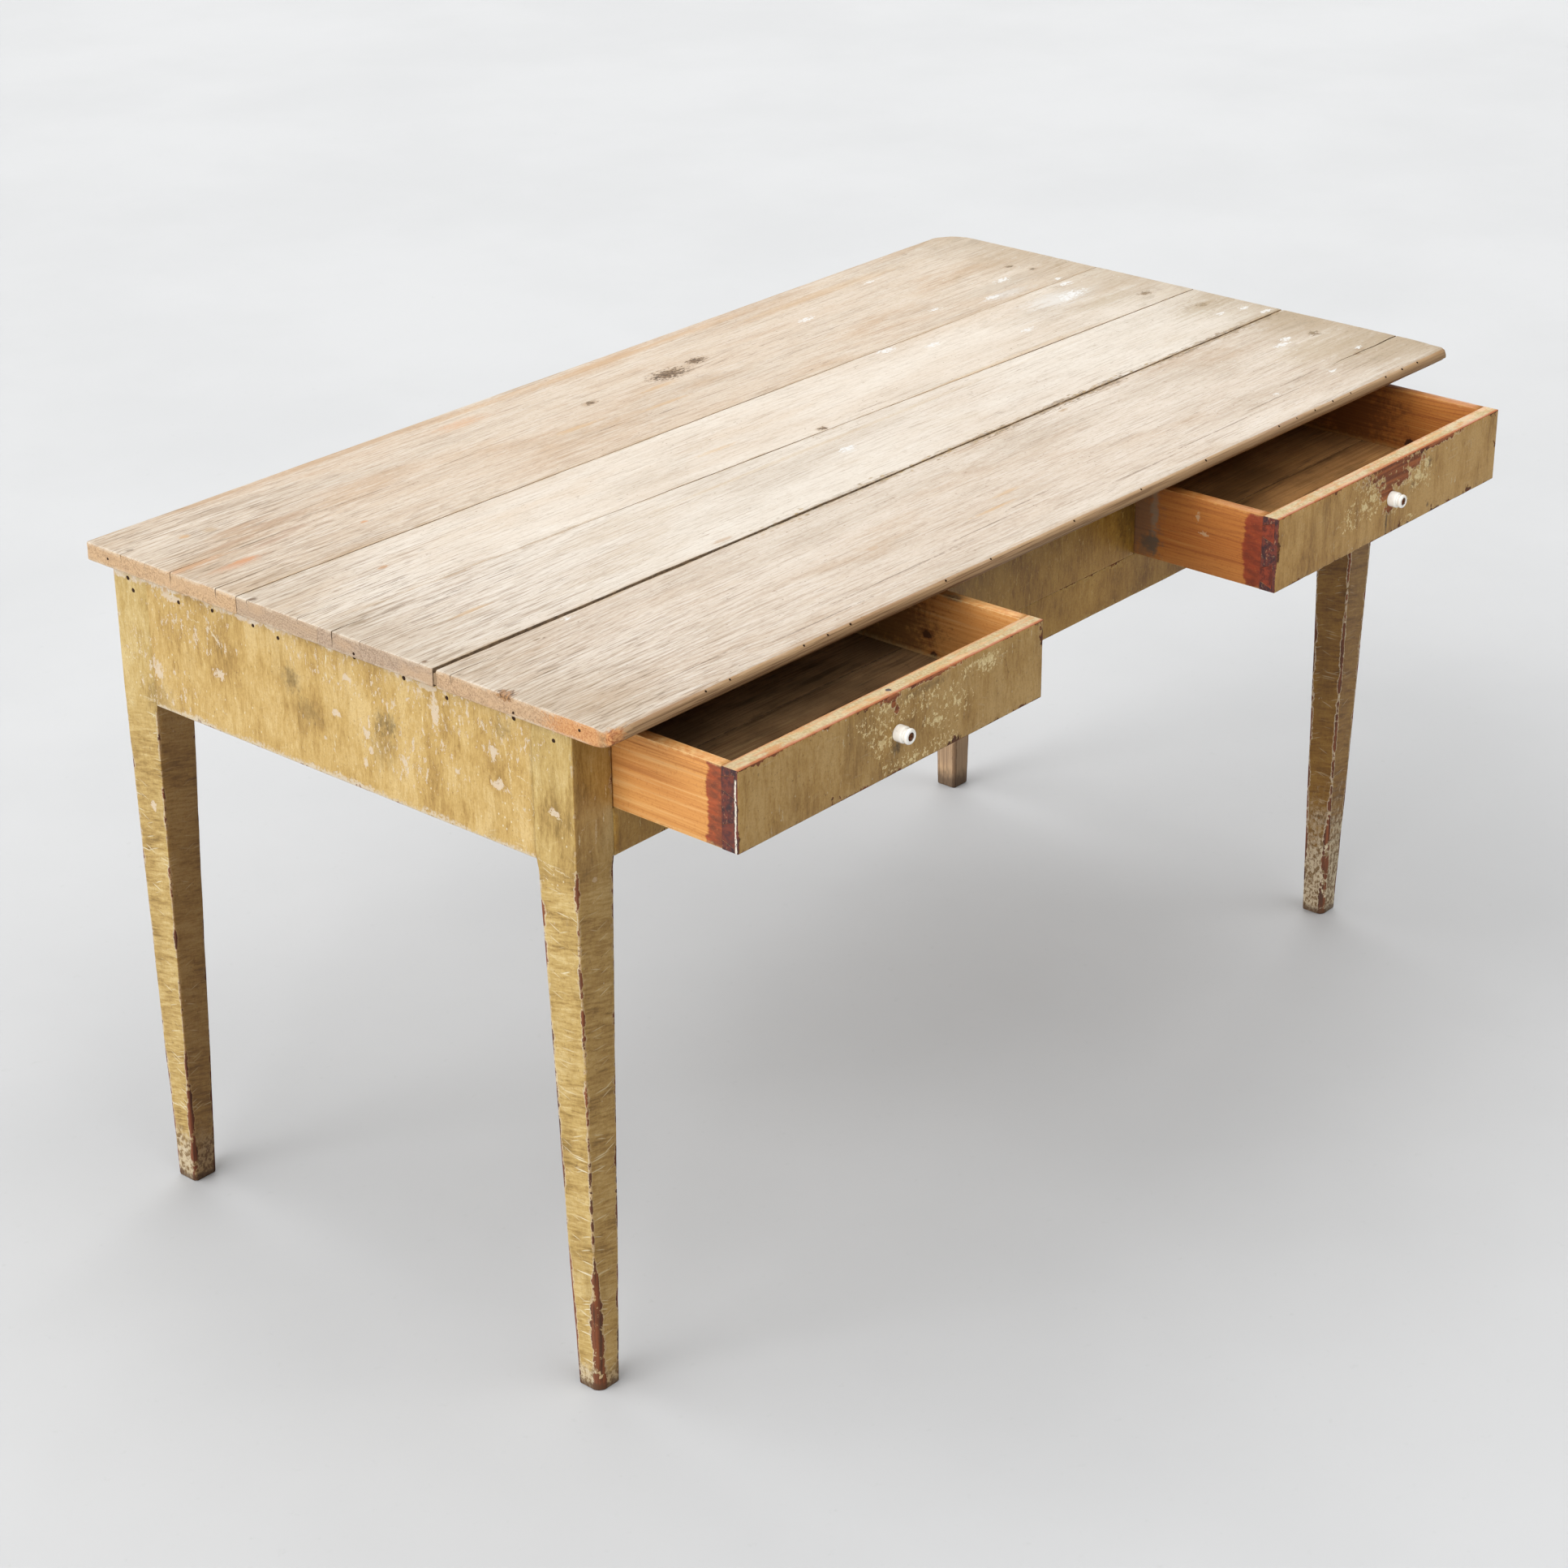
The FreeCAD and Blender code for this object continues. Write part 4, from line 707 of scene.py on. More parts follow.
def worn(node, material, body, bevels, cell=(0.012, 0.012, 0.012), amp=0.0002, reach=0.004, seed=0.0, chip=0.0, name=None):
    """A copy of a CAD piece with eased edges, cut into small cells and made slightly uneven.
    bevels is a list of (test(a, b), width, segments)."""
    src = NODES[node].data
    bm = bmesh.new()
    bm.from_mesh(src)
    bmesh.ops.remove_doubles(bm, verts=bm.verts, dist=2e-6)
    bmesh.ops.dissolve_limit(bm, angle_limit=math.radians(0.6), verts=bm.verts, edges=bm.edges)
    lines = []
    for e in sharp_edges(bm):
        a, b = e.verts[0].co.copy(), e.verts[1].co.copy()
        if any(test(a, b) for test, _, _ in bevels):
            lines.append((a, b))
    for test, width, segs in bevels:
        pick = [e for e in sharp_edges(bm) if test(e.verts[0].co, e.verts[1].co)]
        if pick:
            bmesh.ops.bevel(bm, geom=pick, offset=width, offset_type="OFFSET", segments=segs, profile=0.55, affect="EDGES", clamp_overlap=False)
    lo = Vector([min(v.co[i] for v in bm.verts) for i in range(3)])
    hi = Vector([max(v.co[i] for v in bm.verts) for i in range(3)])
    for axis in range(3):
        if not cell[axis]:
            continue
        span = hi[axis] - lo[axis]
        count = int(span / cell[axis])
        for k in range(1, count):
            p = Vector((0, 0, 0))
            n = Vector((0, 0, 0))
            n[axis] = 1
            p[axis] = lo[axis] + span * (k + 0.001) / count
            bmesh.ops.bisect_plane(bm, geom=bm.verts[:] + bm.edges[:] + bm.faces[:], plane_co=p, plane_no=n, dist=1e-7)
    me = bpy.data.meshes.new(name or "look_" + node)
    bm.normal_update()
    co = np.array([v.co for v in bm.verts])
    no = np.array([v.normal for v in bm.verts])
    near = np.full(len(co), 1.0)
    for a, b in lines:
        a, b = np.array(a), np.array(b)
        ab = b - a
        t = np.clip(((co - a) @ ab) / max(ab @ ab, 1e-12), 0, 1)
        near = np.minimum(near, np.linalg.norm(co - a - t[:, None] * ab, axis=1))
    for i, v in enumerate(bm.verts):
        p = v.co
        d = amp * (noise.noise(p * 9 + Vector((seed, 3, 1))) + 0.5 * noise.noise(p * 34 + Vector((seed, 1, 7))))
        if chip and near[i] < reach * 1.5:
            c = noise.noise(p * 55 + Vector((seed, 9, 2))) + 0.6 * noise.noise(p * 140 + Vector((2, seed, 5)))
            d -= chip * max(0.0, c - 0.15) * (1 - near[i] / (reach * 1.5))
        v.co = p + Vector(no[i]) * d
    bm.to_mesh(me)
    bm.free()
    wear = np.clip(1 - near / reach, 0, 1)
    for key, values in (("wear", wear), ("edge", near)):
        at = me.attributes.new(key, "FLOAT", "POINT")
        at.data.foreach_set("value", values.astype(np.float32))
    return dress(me, name or "look_" + node, material, body, [node], 32)


def long_edges(least):
    return lambda a, b: (a - b).length > least


# top boards: columns run across the board, stations along it
TOP, UNDER = 0.770, 0.750
HALF = 0.723


def top_board(node, front, rear, material, seed, nose_front=0.0009, nose_low=0.0012, rear_round=0.0009, cracks=(), wavy=(0.0003, 0.0003), lift=0.0, corners=None, crumble=False, gap=False, tight="", nose_high=0.0):
    corners = corners or {}
    width = min(rear[0] - front[0], rear[1] - front[1])

    def shape(r):
        return sorted({0.0, r * 0.06, r * 0.22, r * 0.5, r, r * 1.6 + 0.001})

    f_in, r_in = shape(max(nose_front, 0.0015)), shape(max(rear_round, 0.0015))
    cols = [("f", d) for d in f_in] + [("r", d) for d in r_in]
    n_mid = int((width - f_in[-1] - r_in[-1]) / 0.009)
    marks = []
    for c in cracks:
        i = 0 if c["end"] < 0 else 1
        marks.append((c["y"] - front[i]) / (rear[i] - front[i]))
    for k in range(1, n_mid):
        t = (f_in[-1] + (width - f_in[-1] - r_in[-1]) * k / n_mid) / width
        if all(abs(t - q) * width > 0.004 for q in marks):
            cols.append(("t", t))
    for i, c in enumerate(cracks):
        for side in (-1, 0, 1):
            cols.append(("c", marks[i], side, c))

    def rank(c):
        if c[0] == "f":
            return c[1]
        if c[0] == "r":
            return width - c[1]
        return c[1] * width + (c[2] * 0.0008 if c[0] == "c" else 0)

    cols.sort(key=rank)
    near_end = [0.0, 0.0002, 0.0006, 0.0013, 0.0022, 0.004, 0.007, 0.011]
    mid = np.linspace(0.018, 2 * HALF - 0.018, 158)
    stations = near_end + list(mid) + [2 * HALF - d for d in reversed(near_end)]
    rows = 4
    top, low, edge_t, edge_l = [], [], [], []
    for s in stations:
        x0 = -HALF + s
        u = s / (2 * HALF)
        yf = lerp(front[0], front[1], u) + wavy[0] * (wob(x0 * 9, seed) + 0.6 * wob(x0 * 43, seed + 4))
        yr = lerp(rear[0], rear[1], u) + wavy[1] * (wob(x0 * 8, seed + 9) + 0.6 * wob(x0 * 39, seed + 14))
        close = smooth((-0.12 - x0) / 0.16)
        yf -= 0.0002 * close if "f" in tight else 0.0
        yr += 0.0002 * close if "r" in tight else 0.0
        if gap:
            yr += -0.0006 + 0.0026 * smooth((x0 + 0.34) / 0.42)
        line_t, line_l, el_t, el_l = [], [], [], []
        end_r = 0.0016 + 0.0008 * wob(x0 * 3, seed)
        for c in cols:
            dip = 0.0
            if c[0] == "f":
                y = yf + c[1]
            elif c[0] == "r":
                y = yr - c[1]
            elif c[0] == "t":
                y = lerp(yf, yr, c[1])
            else:
                k = c[3]
                away = s if k["end"] < 0 else 2 * HALF - s
                y = lerp(yf, yr, c[1]) + 0.0012 * wob(away * 30, seed + 21) - 0.0012 * wob(0, seed + 21)
                open_ = k["width"] * max(0.0, 1 - away / k["long"]) ** 0.8
                y += c[2] * (0.0002 + open_ * 0.5)
                if c[2] == 0 and away < k["long"]:
                    dip = k["deep"] * (1 - away / k["long"]) ** 0.6
            df, dr = y - yf, yr - y
            # set-back of the rounded corners
            inset_l = drop(df, corners.get("fl", 0)) + drop(dr, corners.get("rl", 0))
            inset_r = drop(df, corners.get("fr", 0)) + drop(dr, corners.get("rr", 0))
            tip = smooth(1 - df / 0.055) if corners.get("fr_out") else 0.0
            inset_r -= corners.get("fr_out", 0) * tip
            rough = 0.0005 * wob(y * 60, seed + 31) + 0.0004 * wob(y * 210, seed + 33)
            if crumble and df < 0.034:
                inset_l += 0.003 * smooth(1 - df / 0.03) * (0.7 + 0.6 * wob(y * 190, seed + 2))
            near_l = s
            near_r = 2 * HALF - s
            x = x0 + (inset_l + max(0.0, rough)) * (1 - u) ** 6 - (inset_r + max(0.0, -rough)) * u ** 6
            if near_l < 0.02:
                x = x0 + (inset_l + max(0.0, rough)) * (1 - near_l / (2 * HALF))
            elif near_r < 0.02:
                x = x0 - (inset_r + max(0.0, -rough)) * (1 - near_r / (2 * HALF))
            d_end = min(near_l, near_r)
            rf = nose_front * (1 + 0.12 * wob(x0 * 14, seed + 3)) * (1 - 0.85 * close if "f" in tight else 1.0)
            rr = rear_round * (1 + 0.25 * wob(x0 * 14, seed + 6)) * (1 - 0.85 * close if "r" in tight else 1.0)
            tip = tip if near_r < near_l else 0.0
            fall = drop(df, rf) + drop(dr, rr) + drop(d_end, lerp(end_r, 0.008, tip))
            rise = drop(df, nose_low) * (nose_high / nose_low if nose_high else 1.0) + drop(dr, 0.0012) + drop(d_end, lerp(0.0012, 0.007, tip))
            uneven = 0.00035 * wob(x0 * 2.3, y * 13, seed) + 0.00016 * wob(x0 * 11, y * 70, seed)
            if crumble:
                away = math.hypot((x0 + HALF) / 0.030, max(df, 0) / 0.026)
                if away < 1:
                    fall += 0.0055 * smooth(1 - away) * (0.75 + 0.7 * abs(wob(x0 * 150, y * 150, seed + 5)))
            fall = min(fall, 0.0105)
            rise = min(rise, max(0.0085, nose_high + 0.002), 0.0188 - fall)
            zt = TOP + lift + uneven - fall - dip - (0.0004 if lift >= 0 else 0)
            zl = UNDER + rise
            line_t.append((x, y, max(zt, zl + 0.0008)))
            line_l.append((x, y, zl))
            e = min(df, dr, d_end)
            el_t.append(e)
            el_l.append(e)
        top.append(line_t)
        low.append(line_l)
        edge_t.append(el_t)
        edge_l.append(el_l)
    ns, nc = len(stations), len(cols)
    verts, edge, index = [], [], {}

    def vert(key, p, e):
        if key not in index:
            index[key] = len(verts)
            verts.append(p)
            edge.append(e)
        return index[key]

    def grid(i, j, k):
        """Point on the skin. k runs from 0 on the top to rows on the underside."""
        if k == 0:
            return vert((i, j, 0), top[i][j], edge_t[i][j])
        if k == rows:
            return vert((i, j, rows), low[i][j], edge_l[i][j])
        a, b = Vector(top[i][j]), Vector(low[i][j])
        p = a.lerp(b, k / rows)
        if i in (0, ns - 1) and 0 < j < nc - 1:
            p.x += 0.0004 * wob(p.y * 230, p.z * 230, seed + i) * (1 if i == 0 else -1) + (0.0002 if i == 0 else -0.0002)
        e = min((a - p).length, (b - p).length)
        return vert((i, j, k), tuple(p), e)

    faces = []
    for i in range(ns - 1):
        for j in range(nc - 1):
            faces.append((grid(i, j, 0), grid(i + 1, j, 0), grid(i + 1, j + 1, 0), grid(i, j + 1, 0)))
            faces.append((grid(i, j, rows), grid(i, j + 1, rows), grid(i + 1, j + 1, rows), grid(i + 1, j, rows)))
        for k in range(rows):
            faces.append((grid(i, 0, k), grid(i, 0, k + 1), grid(i + 1, 0, k + 1), grid(i + 1, 0, k)))
            faces.append((grid(i, nc - 1, k), grid(i + 1, nc - 1, k), grid(i + 1, nc - 1, k + 1), grid(i, nc - 1, k + 1)))
    for j in range(nc - 1):
        for k in range(rows):
            faces.append((grid(0, j, k), grid(0, j + 1, k), grid(0, j + 1, k + 1), grid(0, j, k + 1)))
            faces.append((grid(ns - 1, j, k), grid(ns - 1, j, k + 1), grid(ns - 1, j + 1, k + 1), grid(ns - 1, j + 1, k)))
    wear = [max(0.0, 1 - e / 0.004) for e in edge]
    return add_piece("look_" + node, verts, faces, material, "frame", [node], {"edge": edge, "wear": wear}, 48)


LEG_X, LEG_W, KNEE, FOOT_W = 0.7072, 0.0522, 0.597, 0.0298


def leg(node, sx, sy, foot, material, seed, worn_low):
    """A tapered leg as rings of points. worn_low gives how far each corner is rubbed at the foot, in the order
    (-x -y), (+x -y), (+x +y), (-x +y)."""
    half = LEG_W / 2
    cx = sx * (LEG_X - half)
    cy = -0.2393 + half if sy < 0 else 0.4176 - half
    levels = [0.0, 0.0006, 0.0016, 0.003, 0.006]
    levels += list(np.arange(0.012, 0.585, 0.0075)) + [0.586, 0.590, 0.594, 0.5985, 0.602]
    levels += list(np.arange(0.610, 0.748, 0.009)) + [0.7494, 0.75]
    n_side, n_arc = 7, 5
    corner = [(-1, -1), (1, -1), (1, 1), (-1, 1)]
    # corners that lie flush against an apron above the knee stay sharp and painted over
    joints = [(sx, -sy)] + ([(-sx, sy)] if sy > 0 else [])
    verts, wear, rings = [], [], []
    for z in levels:
        t = min(1.0, z / KNEE)
        h = lerp(FOOT_W / 2, half, t)
        mx, my = lerp(foot[0], cx, t), lerp(foot[1], cy, t)
        # the small hollow under the apron, on the two inner faces only
        step = 0.0016 * smooth((0.599 - z) / 0.011) * smooth(z / 0.45)
        x0, x1, y0, y1 = mx - h, mx + h, my - h, my + h
        if sx < 0:
            x1 -= step
        else:
            x0 += step
        if sy < 0:
            y1 -= step
        else:
            y0 += step
        tuck = drop(z, 0.0016)
        ring = []
        radii = []
        for q in range(4):
            r = 0.0011 + 0.0007 * wob(z * 22, q * 7.1, seed) + 0.0008 * max(0, wob(z * 75, q * 3.3, seed + 4))
            r += worn_low[q] * smooth((0.165 - z) / 0.07) * (0.62 + 0.38 * (1 - z / 0.165)) * (0.9 + 0.25 * wob(z * 40, q, seed + 9))
            if z > 0.60:
                r = min(r, 0.0012)
                if corner[q] in joints:
                    r = lerp(r, 0.0001, smooth((z - 0.60) / 0.006))
            radii.append(max(r, 0.0001))
        for q in range(4):
            ax, ay = corner[q]
            r = radii[q]
            ox = (x0 + tuck + r) if ax < 0 else (x1 - tuck - r)
            oy = (y0 + tuck + r) if ay < 0 else (y1 - tuck - r)
            a0 = math.radians(180 + 90 * q)
            for k in range(n_arc + 1):
                a = a0 + math.radians(90) * k / n_arc
                # between a round and a flat chamfer
                flat = 0.35 if worn_low[q] > 0.002 else 0.0
                px, py = math.cos(a), math.sin(a)
                c0 = Vector((math.cos(a0), math.sin(a0)))
                c1 = Vector((math.cos(a0 + math.pi / 2), math.sin(a0 + math.pi / 2)))
                ch = c0.lerp(c1, k / n_arc)
                px, py = lerp(px, ch.x, flat), lerp(py, ch.y, flat)
                ring.append((ox + r * px, oy + r * py, z, 0.0, q))
            nq = (q + 1) % 4
            r2 = radii[nq]
            bx, by = corner[nq]
            o2x = (x0 + tuck + r2) if bx < 0 else (x1 - tuck - r2)
            o2y = (y0 + tuck + r2) if by < 0 else (y1 - tuck - r2)
            a1 = a0 + math.pi / 2
            s = Vector((ox + r * math.cos(a1), oy + r * math.sin(a1)))
            e = Vector((o2x + r2 * math.cos(a1), o2y + r2 * math.sin(a1)))
            length = (e - s).length
            nrm = Vector((math.cos(a1), math.sin(a1)))
            for k in range(1, n_side):
                p = s.lerp(e, k / n_side)
                d = 0.00022 * (wob(p.x * 40, p.y * 40 + seed, z * 16) + 0.6 * wob(p.x * 90, p.y * 90, z * 60 + seed))
                p = p + nrm * (d - 0.0001)
                first, last = length * k / n_side, length * (1 - k / n_side)
                ring.append((p.x, p.y, z, min(first, last), q if first < last else nq))
        row = []
        for x, y, zz, away, q in ring:
            row.append(len(verts))
            verts.append((x, y, zz))
            reach = 0.0030 + 0.0012 * wob(z * 9, q * 5.0, seed + 2) + worn_low[q] * 0.55 * smooth((0.17 - z) / 0.08)
            rubbed = 1.0 if z < 0.60 else 0.62
            if corner[q] in joints:
                rubbed = lerp(1.0, 0.0, smooth((z - 0.585) / 0.02))
            wear.append(max(0.0, 1 - away / reach) * rubbed)
        rings.append(row)
    faces = []
    n = len(rings[0])
    for a, b in zip(rings, rings[1:]):
        for k in range(n):
            faces.append((a[k], a[(k + 1) % n], b[(k + 1) % n], b[k]))
    for row, flip in ((rings[0], True), (rings[-1], False)):
        c = len(verts)
        pts = [verts[i] for i in row]
        verts.append(tuple(sum(p[i] for p in pts) / n for i in range(3)))
        wear.append(1.0)
        for k in range(n):
            f = (row[k], row[(k + 1) % n], c)
            faces.append(tuple(reversed(f)) if flip else f)
    ob = add_piece("look_" + node, verts, faces, material, "frame", [node], {"wear": wear, "edge": [0.02] * len(wear)}, 38)
    return ob


def lathe(name, profile, centre, material, body, nodes, steps=64, wear=None, bumps=0.0):
    """A turned piece whose axis points to -Y. profile is a list of (radius, forward)."""
    verts, faces, w = [], [], []
    for i, (r, fwd) in enumerate(profile):
        for k in range(steps):
            a = 2 * math.pi * k / steps
            rr = r * (1 + bumps * wob(math.cos(a) * 2, math.sin(a) * 2, fwd * 300))
            verts.append((centre[0] + rr * math.cos(a), centre[1] - fwd, centre[2] + rr * math.sin(a)))
            w.append(wear[i] if wear else 0.0)
    for i in range(len(profile) - 1):
        for k in range(steps):
            a, b = i * steps + k, i * steps + (k + 1) % steps
            faces.append((a, b, b + steps, a + steps))
    for i, flip in ((0, False), (len(profile) - 1, True)):
        c = len(verts)
        verts.append((centre[0], centre[1] - profile[i][1], centre[2]))
        w.append(wear[i] if wear else 0.0)
        for k in range(steps):
            f = (i * steps + k, i * steps + (k + 1) % steps, c)
            faces.append(f if flip else tuple(reversed(f)))
    return add_piece(name, verts, faces, material, body, nodes, {"wear": w, "edge": [0.01] * len(w)}, 50)


# ---------------------------------------------------------------- table top
TAN = C(224, 184, 132)
RUST = C(226, 168, 118)
top_board(
    "top_board_rear", (0.20525, 0.20125), (0.438, 0.4425),
    scrubbed("pine_rear", 1.0, C(235, 218, 197), C(226, 203, 178), C(210, 174, 134),
             knots=[(0.0568, 0.3363, 0.022, 0.010), (0.115, 0.345, 0.012, 0.006), (-0.0761, 0.3355, 0.006, 0.004), (0.652, 0.288, 0.005, 0.004), (0.663, 0.259, 0.004, 0.003)],
             stains=[(-0.70, 0.300, 0.07, 0.010, RUST, 0.60), (-0.665, 0.268, 0.050, 0.010, C(222, 166, 126), 0.7), (-0.653, 0.272, 0.02, 0.008, C(230, 160, 110), 0.6), (-0.60, 0.292, 0.045, 0.010, C(196, 164, 140), 0.6), (-0.56, 0.30, 0.03, 0.010, C(192, 160, 134), 0.5),
                     (-0.50, 0.2585, 0.006, 0.004, RUST, 0.8), (-0.648, 0.370, 0.010, 0.008, C(224, 178, 122), 0.8), (-0.618, 0.366, 0.013, 0.009, C(204, 176, 140), 0.8), (-0.71, 0.385, 0.008, 0.005, C(132, 112, 94), 0.7), (-0.60, 0.345, 0.060, 0.012, C(202, 168, 134), 0.60), (-0.55, 0.330, 0.080, 0.010, C(194, 160, 128), 0.55), (-0.635, 0.318, 0.050, 0.008, C(188, 152, 120), 0.60),
                     (0.05, 0.425, 0.45, 0.012, C(218, 178, 132), 0.55), (-0.4, 0.432, 0.35, 0.008, C(204, 168, 128), 0.5), (0.58, 0.25, 0.10, 0.025, C(206, 194, 176), 0.4), (-0.22, 0.40, 0.06, 0.012, C(232, 178, 130), 0.5), (0.02, 0.315, 0.05, 0.006, TAN, 0.5), (-0.15, 0.29, 0.06, 0.006, TAN, 0.6), (-0.02, 0.27, 0.06, 0.005, TAN, 0.5), (0.42, 0.40, 0.22, 0.014, C(222, 184, 134), 0.4), (0.56, 0.222, 0.06, 0.016, C(250, 248, 244), 0.5)],
             spots=[(0.650, 0.211, 0.007, 0.004), (0.534, 0.226, 0.012, 0.006), (0.45, 0.25, 0.010, 0.004), (0.319, 0.347, 0.013, 0.005), (0.487, 0.385, 0.008, 0.004), (0.60, 0.26, 0.014, 0.006)],
             checks=[(-0.60, 0.302, 0.12, 0.0016), (-0.66, 0.338, 0.03, 0.0012), (-0.45, 0.315, 0.10, 0.0014), (-0.30, 0.318, 0.04, 0.0012), (-0.66, 0.237, 0.03, 0.0016), (0.10, 0.330, 0.04, 0.0014), (0.13, 0.322, 0.03, 0.0013), (-0.12, 0.262, 0.03, 0.0012), (-0.04, 0.250, 0.03, 0.0013), (0.30, 0.30, 0.05, 0.0012)],
             dirty=0.55, blotch=0.85, grain=1.15, end=C(230, 192, 148)),
    1.0, corners={"rr": 0.040, "rl": 0.003},
    cracks=[dict(end=-1, y=0.382, width=0.0004, long=0.012, deep=0.006), dict(end=-1, y=0.3445, width=0.0003, long=0.010, deep=0.004), dict(end=-1, y=0.305, width=0.0007, long=0.05, deep=0.012), dict(end=-1, y=0.236, width=0.0008, long=0.06, deep=0.008)],
)
top_board(
    "top_board_mid_rear", (0.08675, 0.05225), (0.20475, 0.20075),
    scrubbed("pine_mid_rear", 2.0, C(246, 234, 218), C(237, 221, 202), C(226, 198, 166),
             knots=[(0.0266, 0.0756, 0.005, 0.0035), (0.6686, 0.0888, 0.007, 0.005)],
             stains=[(-0.5753, 0.1492, 0.010, 0.005, C(206, 158, 112), 0.8), (-0.5575, 0.0711, 0.006, 0.004, C(150, 116, 86), 0.7), (-0.717, 0.186, 0.007, 0.004, C(110, 84, 70), 0.85), (0.2, 0.064, 0.4, 0.006, C(226, 190, 140), 0.5), (0.62, 0.11, 0.07, 0.02, C(206, 188, 158), 0.5), (0.585, 0.158, 0.085, 0.030, C(252, 251, 248), 0.62), (-0.10, 0.12, 0.05, 0.006, TAN, 0.45)],
             spots=[(0.608, 0.157, 0.024, 0.009), (0.590, 0.150, 0.012, 0.006), (0.457, 0.1135, 0.014, 0.004), (0.64, 0.19, 0.012, 0.006), (0.34, 0.165, 0.012, 0.005), (0.2875, 0.195, 0.016, 0.007)],
             checks=[(-0.64, 0.125, 0.05, 0.0012), (-0.60, 0.112, 0.04, 0.0012), (-0.62, 0.098, 0.06, 0.0012), (0.12, 0.082, 0.04, 0.0012)],
             dirty=0.5, grain=0.8, blotch=0.62, end=C(210, 182, 152)),
    2.0, lift=-0.0003, tight="f",
    cracks=[dict(end=-1, y=0.189, width=0.0003, long=0.008, deep=0.004), dict(end=-1, y=0.115, width=0.0004, long=0.04, deep=0.004)],
)
top_board(
    "top_board_mid_front", (-0.0740, -0.0783), (0.08625, 0.05175),
    scrubbed("pine_mid_front", 3.0, C(243, 232, 217), C(234, 218, 200), C(218, 196, 168),
             knots=[(0.6763, 0.0073, 0.009, 0.005)],
             stains=[(-0.0089, 0.0067, 0.016, 0.008, C(246, 243, 236), 0.6), (-0.03, 0.018, 0.05, 0.006, C(204, 186, 164), 0.5), (-0.69, 0.062, 0.02, 0.006, C(160, 138, 114), 0.7), (0.0, 0.044, 0.5, 0.006, C(218, 194, 160), 0.45), (0.66, 0.0, 0.08, 0.03, C(190, 170, 136), 0.5), (-0.7162, -0.0565, 0.006, 0.004, C(120, 86, 64), 0.9), (-0.60, 0.0, 0.03, 0.005, TAN, 0.5), (-0.30, -0.066, 0.02, 0.005, C(206, 176, 146), 0.7)],
             spots=[(-0.0056, 0.0129, 0.013, 0.006), (0.6966, -0.0397, 0.008, 0.005), (0.705, -0.068, 0.009, 0.004), (0.66, -0.03, 0.008, 0.004)],
             checks=[(-0.65, 0.060, 0.05, 0.0016), (-0.60, 0.041, 0.05, 0.0015), (-0.64, 0.022, 0.04, 0.0015), (-0.555, 0.053, 0.04, 0.0014), (-0.52, 0.033, 0.03, 0.0013), (-0.575, 0.047, 0.02, 0.0016), (-0.66, 0.004, 0.02, 0.0013)],
             dirty=0.7, grain=0.9, blotch=0.7, end=C(204, 178, 152)),
    3.0, wavy=(0.0009, 0.0003), tight="r",
    cracks=[dict(end=-1, y=0.0655, width=0.0010, long=0.045, deep=0.017), dict(end=-1, y=0.026, width=0.0004, long=0.025, deep=0.005)],
)
top_board(
    "top_board_front", (-0.3055, -0.3142), (-0.0786, -0.0829),
    scrubbed("pine_front", 4.0, C(238, 224, 207), C(227, 209, 189), C(208, 179, 148),
             knots=[(0.6673, -0.1613, 0.007, 0.005)],
             stains=[(0.248, -0.0947, 0.014, 0.005, C(186, 152, 108), 0.7), (0.634, -0.242, 0.006, 0.004, C(140, 76, 58), 0.85), (0.65, -0.235, 0.012, 0.004, C(160, 104, 84), 0.5), (-0.61, -0.101, 0.009, 0.003, C(140, 112, 84), 0.8), (-0.602, -0.103, 0.005, 0.002, C(120, 92, 66), 0.8), (0.62, -0.2, 0.10, 0.05, C(200, 180, 148), 0.5), (-0.717, -0.1045, 0.008, 0.003, C(110, 84, 62), 0.9), (-0.05, -0.225, 0.05, 0.004, TAN, 0.6), (0.0, -0.205, 0.03, 0.004, TAN, 0.5), (-0.22, -0.20, 0.012, 0.006, C(214, 184, 152), 0.6)],
             spots=[(0.606, -0.156, 0.013, 0.005), (0.625, -0.148, 0.012, 0.006), (0.655, -0.23, 0.007, 0.004), (0.45, -0.25, 0.006, 0.003), (0.56, -0.255, 0.008, 0.003), (-0.552, -0.087, 0.006, 0.003)],
             checks=[(-0.25, -0.262, 0.14, 0.0014), (-0.10, -0.250, 0.08, 0.0012), (-0.40, -0.280, 0.12, 0.0015), (-0.02, -0.238, 0.03, 0.0014), (0.02, -0.236, 0.02, 0.0014), (0.30, -0.268, 0.12, 0.0014), (0.44, -0.258, 0.08, 0.0013), (0.15, -0.275, 0.08, 0.0013), (0.60, -0.27, 0.06, 0.0012), (0.52, -0.238, 0.06, 0.0014), (-0.62, -0.24, 0.05, 0.0013), (-0.55, -0.262, 0.07, 0.0013)],
             dirty=0.8, grain=1.1, blotch=0.9, end=C(222, 186, 146)),
    4.0, nose_front=0.008, nose_low=0.024, nose_high=0.0110, wavy=(0.0004, 0.0009), corners={"fl": 0.005, "fr": 0.008, "fr_out": 0.0002}, crumble=True, gap=True,
    cracks=[dict(end=1, y=-0.243, width=0.0020, long=0.14, deep=0.014), dict(end=-1, y=-0.098, width=0.0006, long=0.05, deep=0.006), dict(end=-1, y=-0.1647, width=0.0003, long=0.008, deep=0.004)],
)

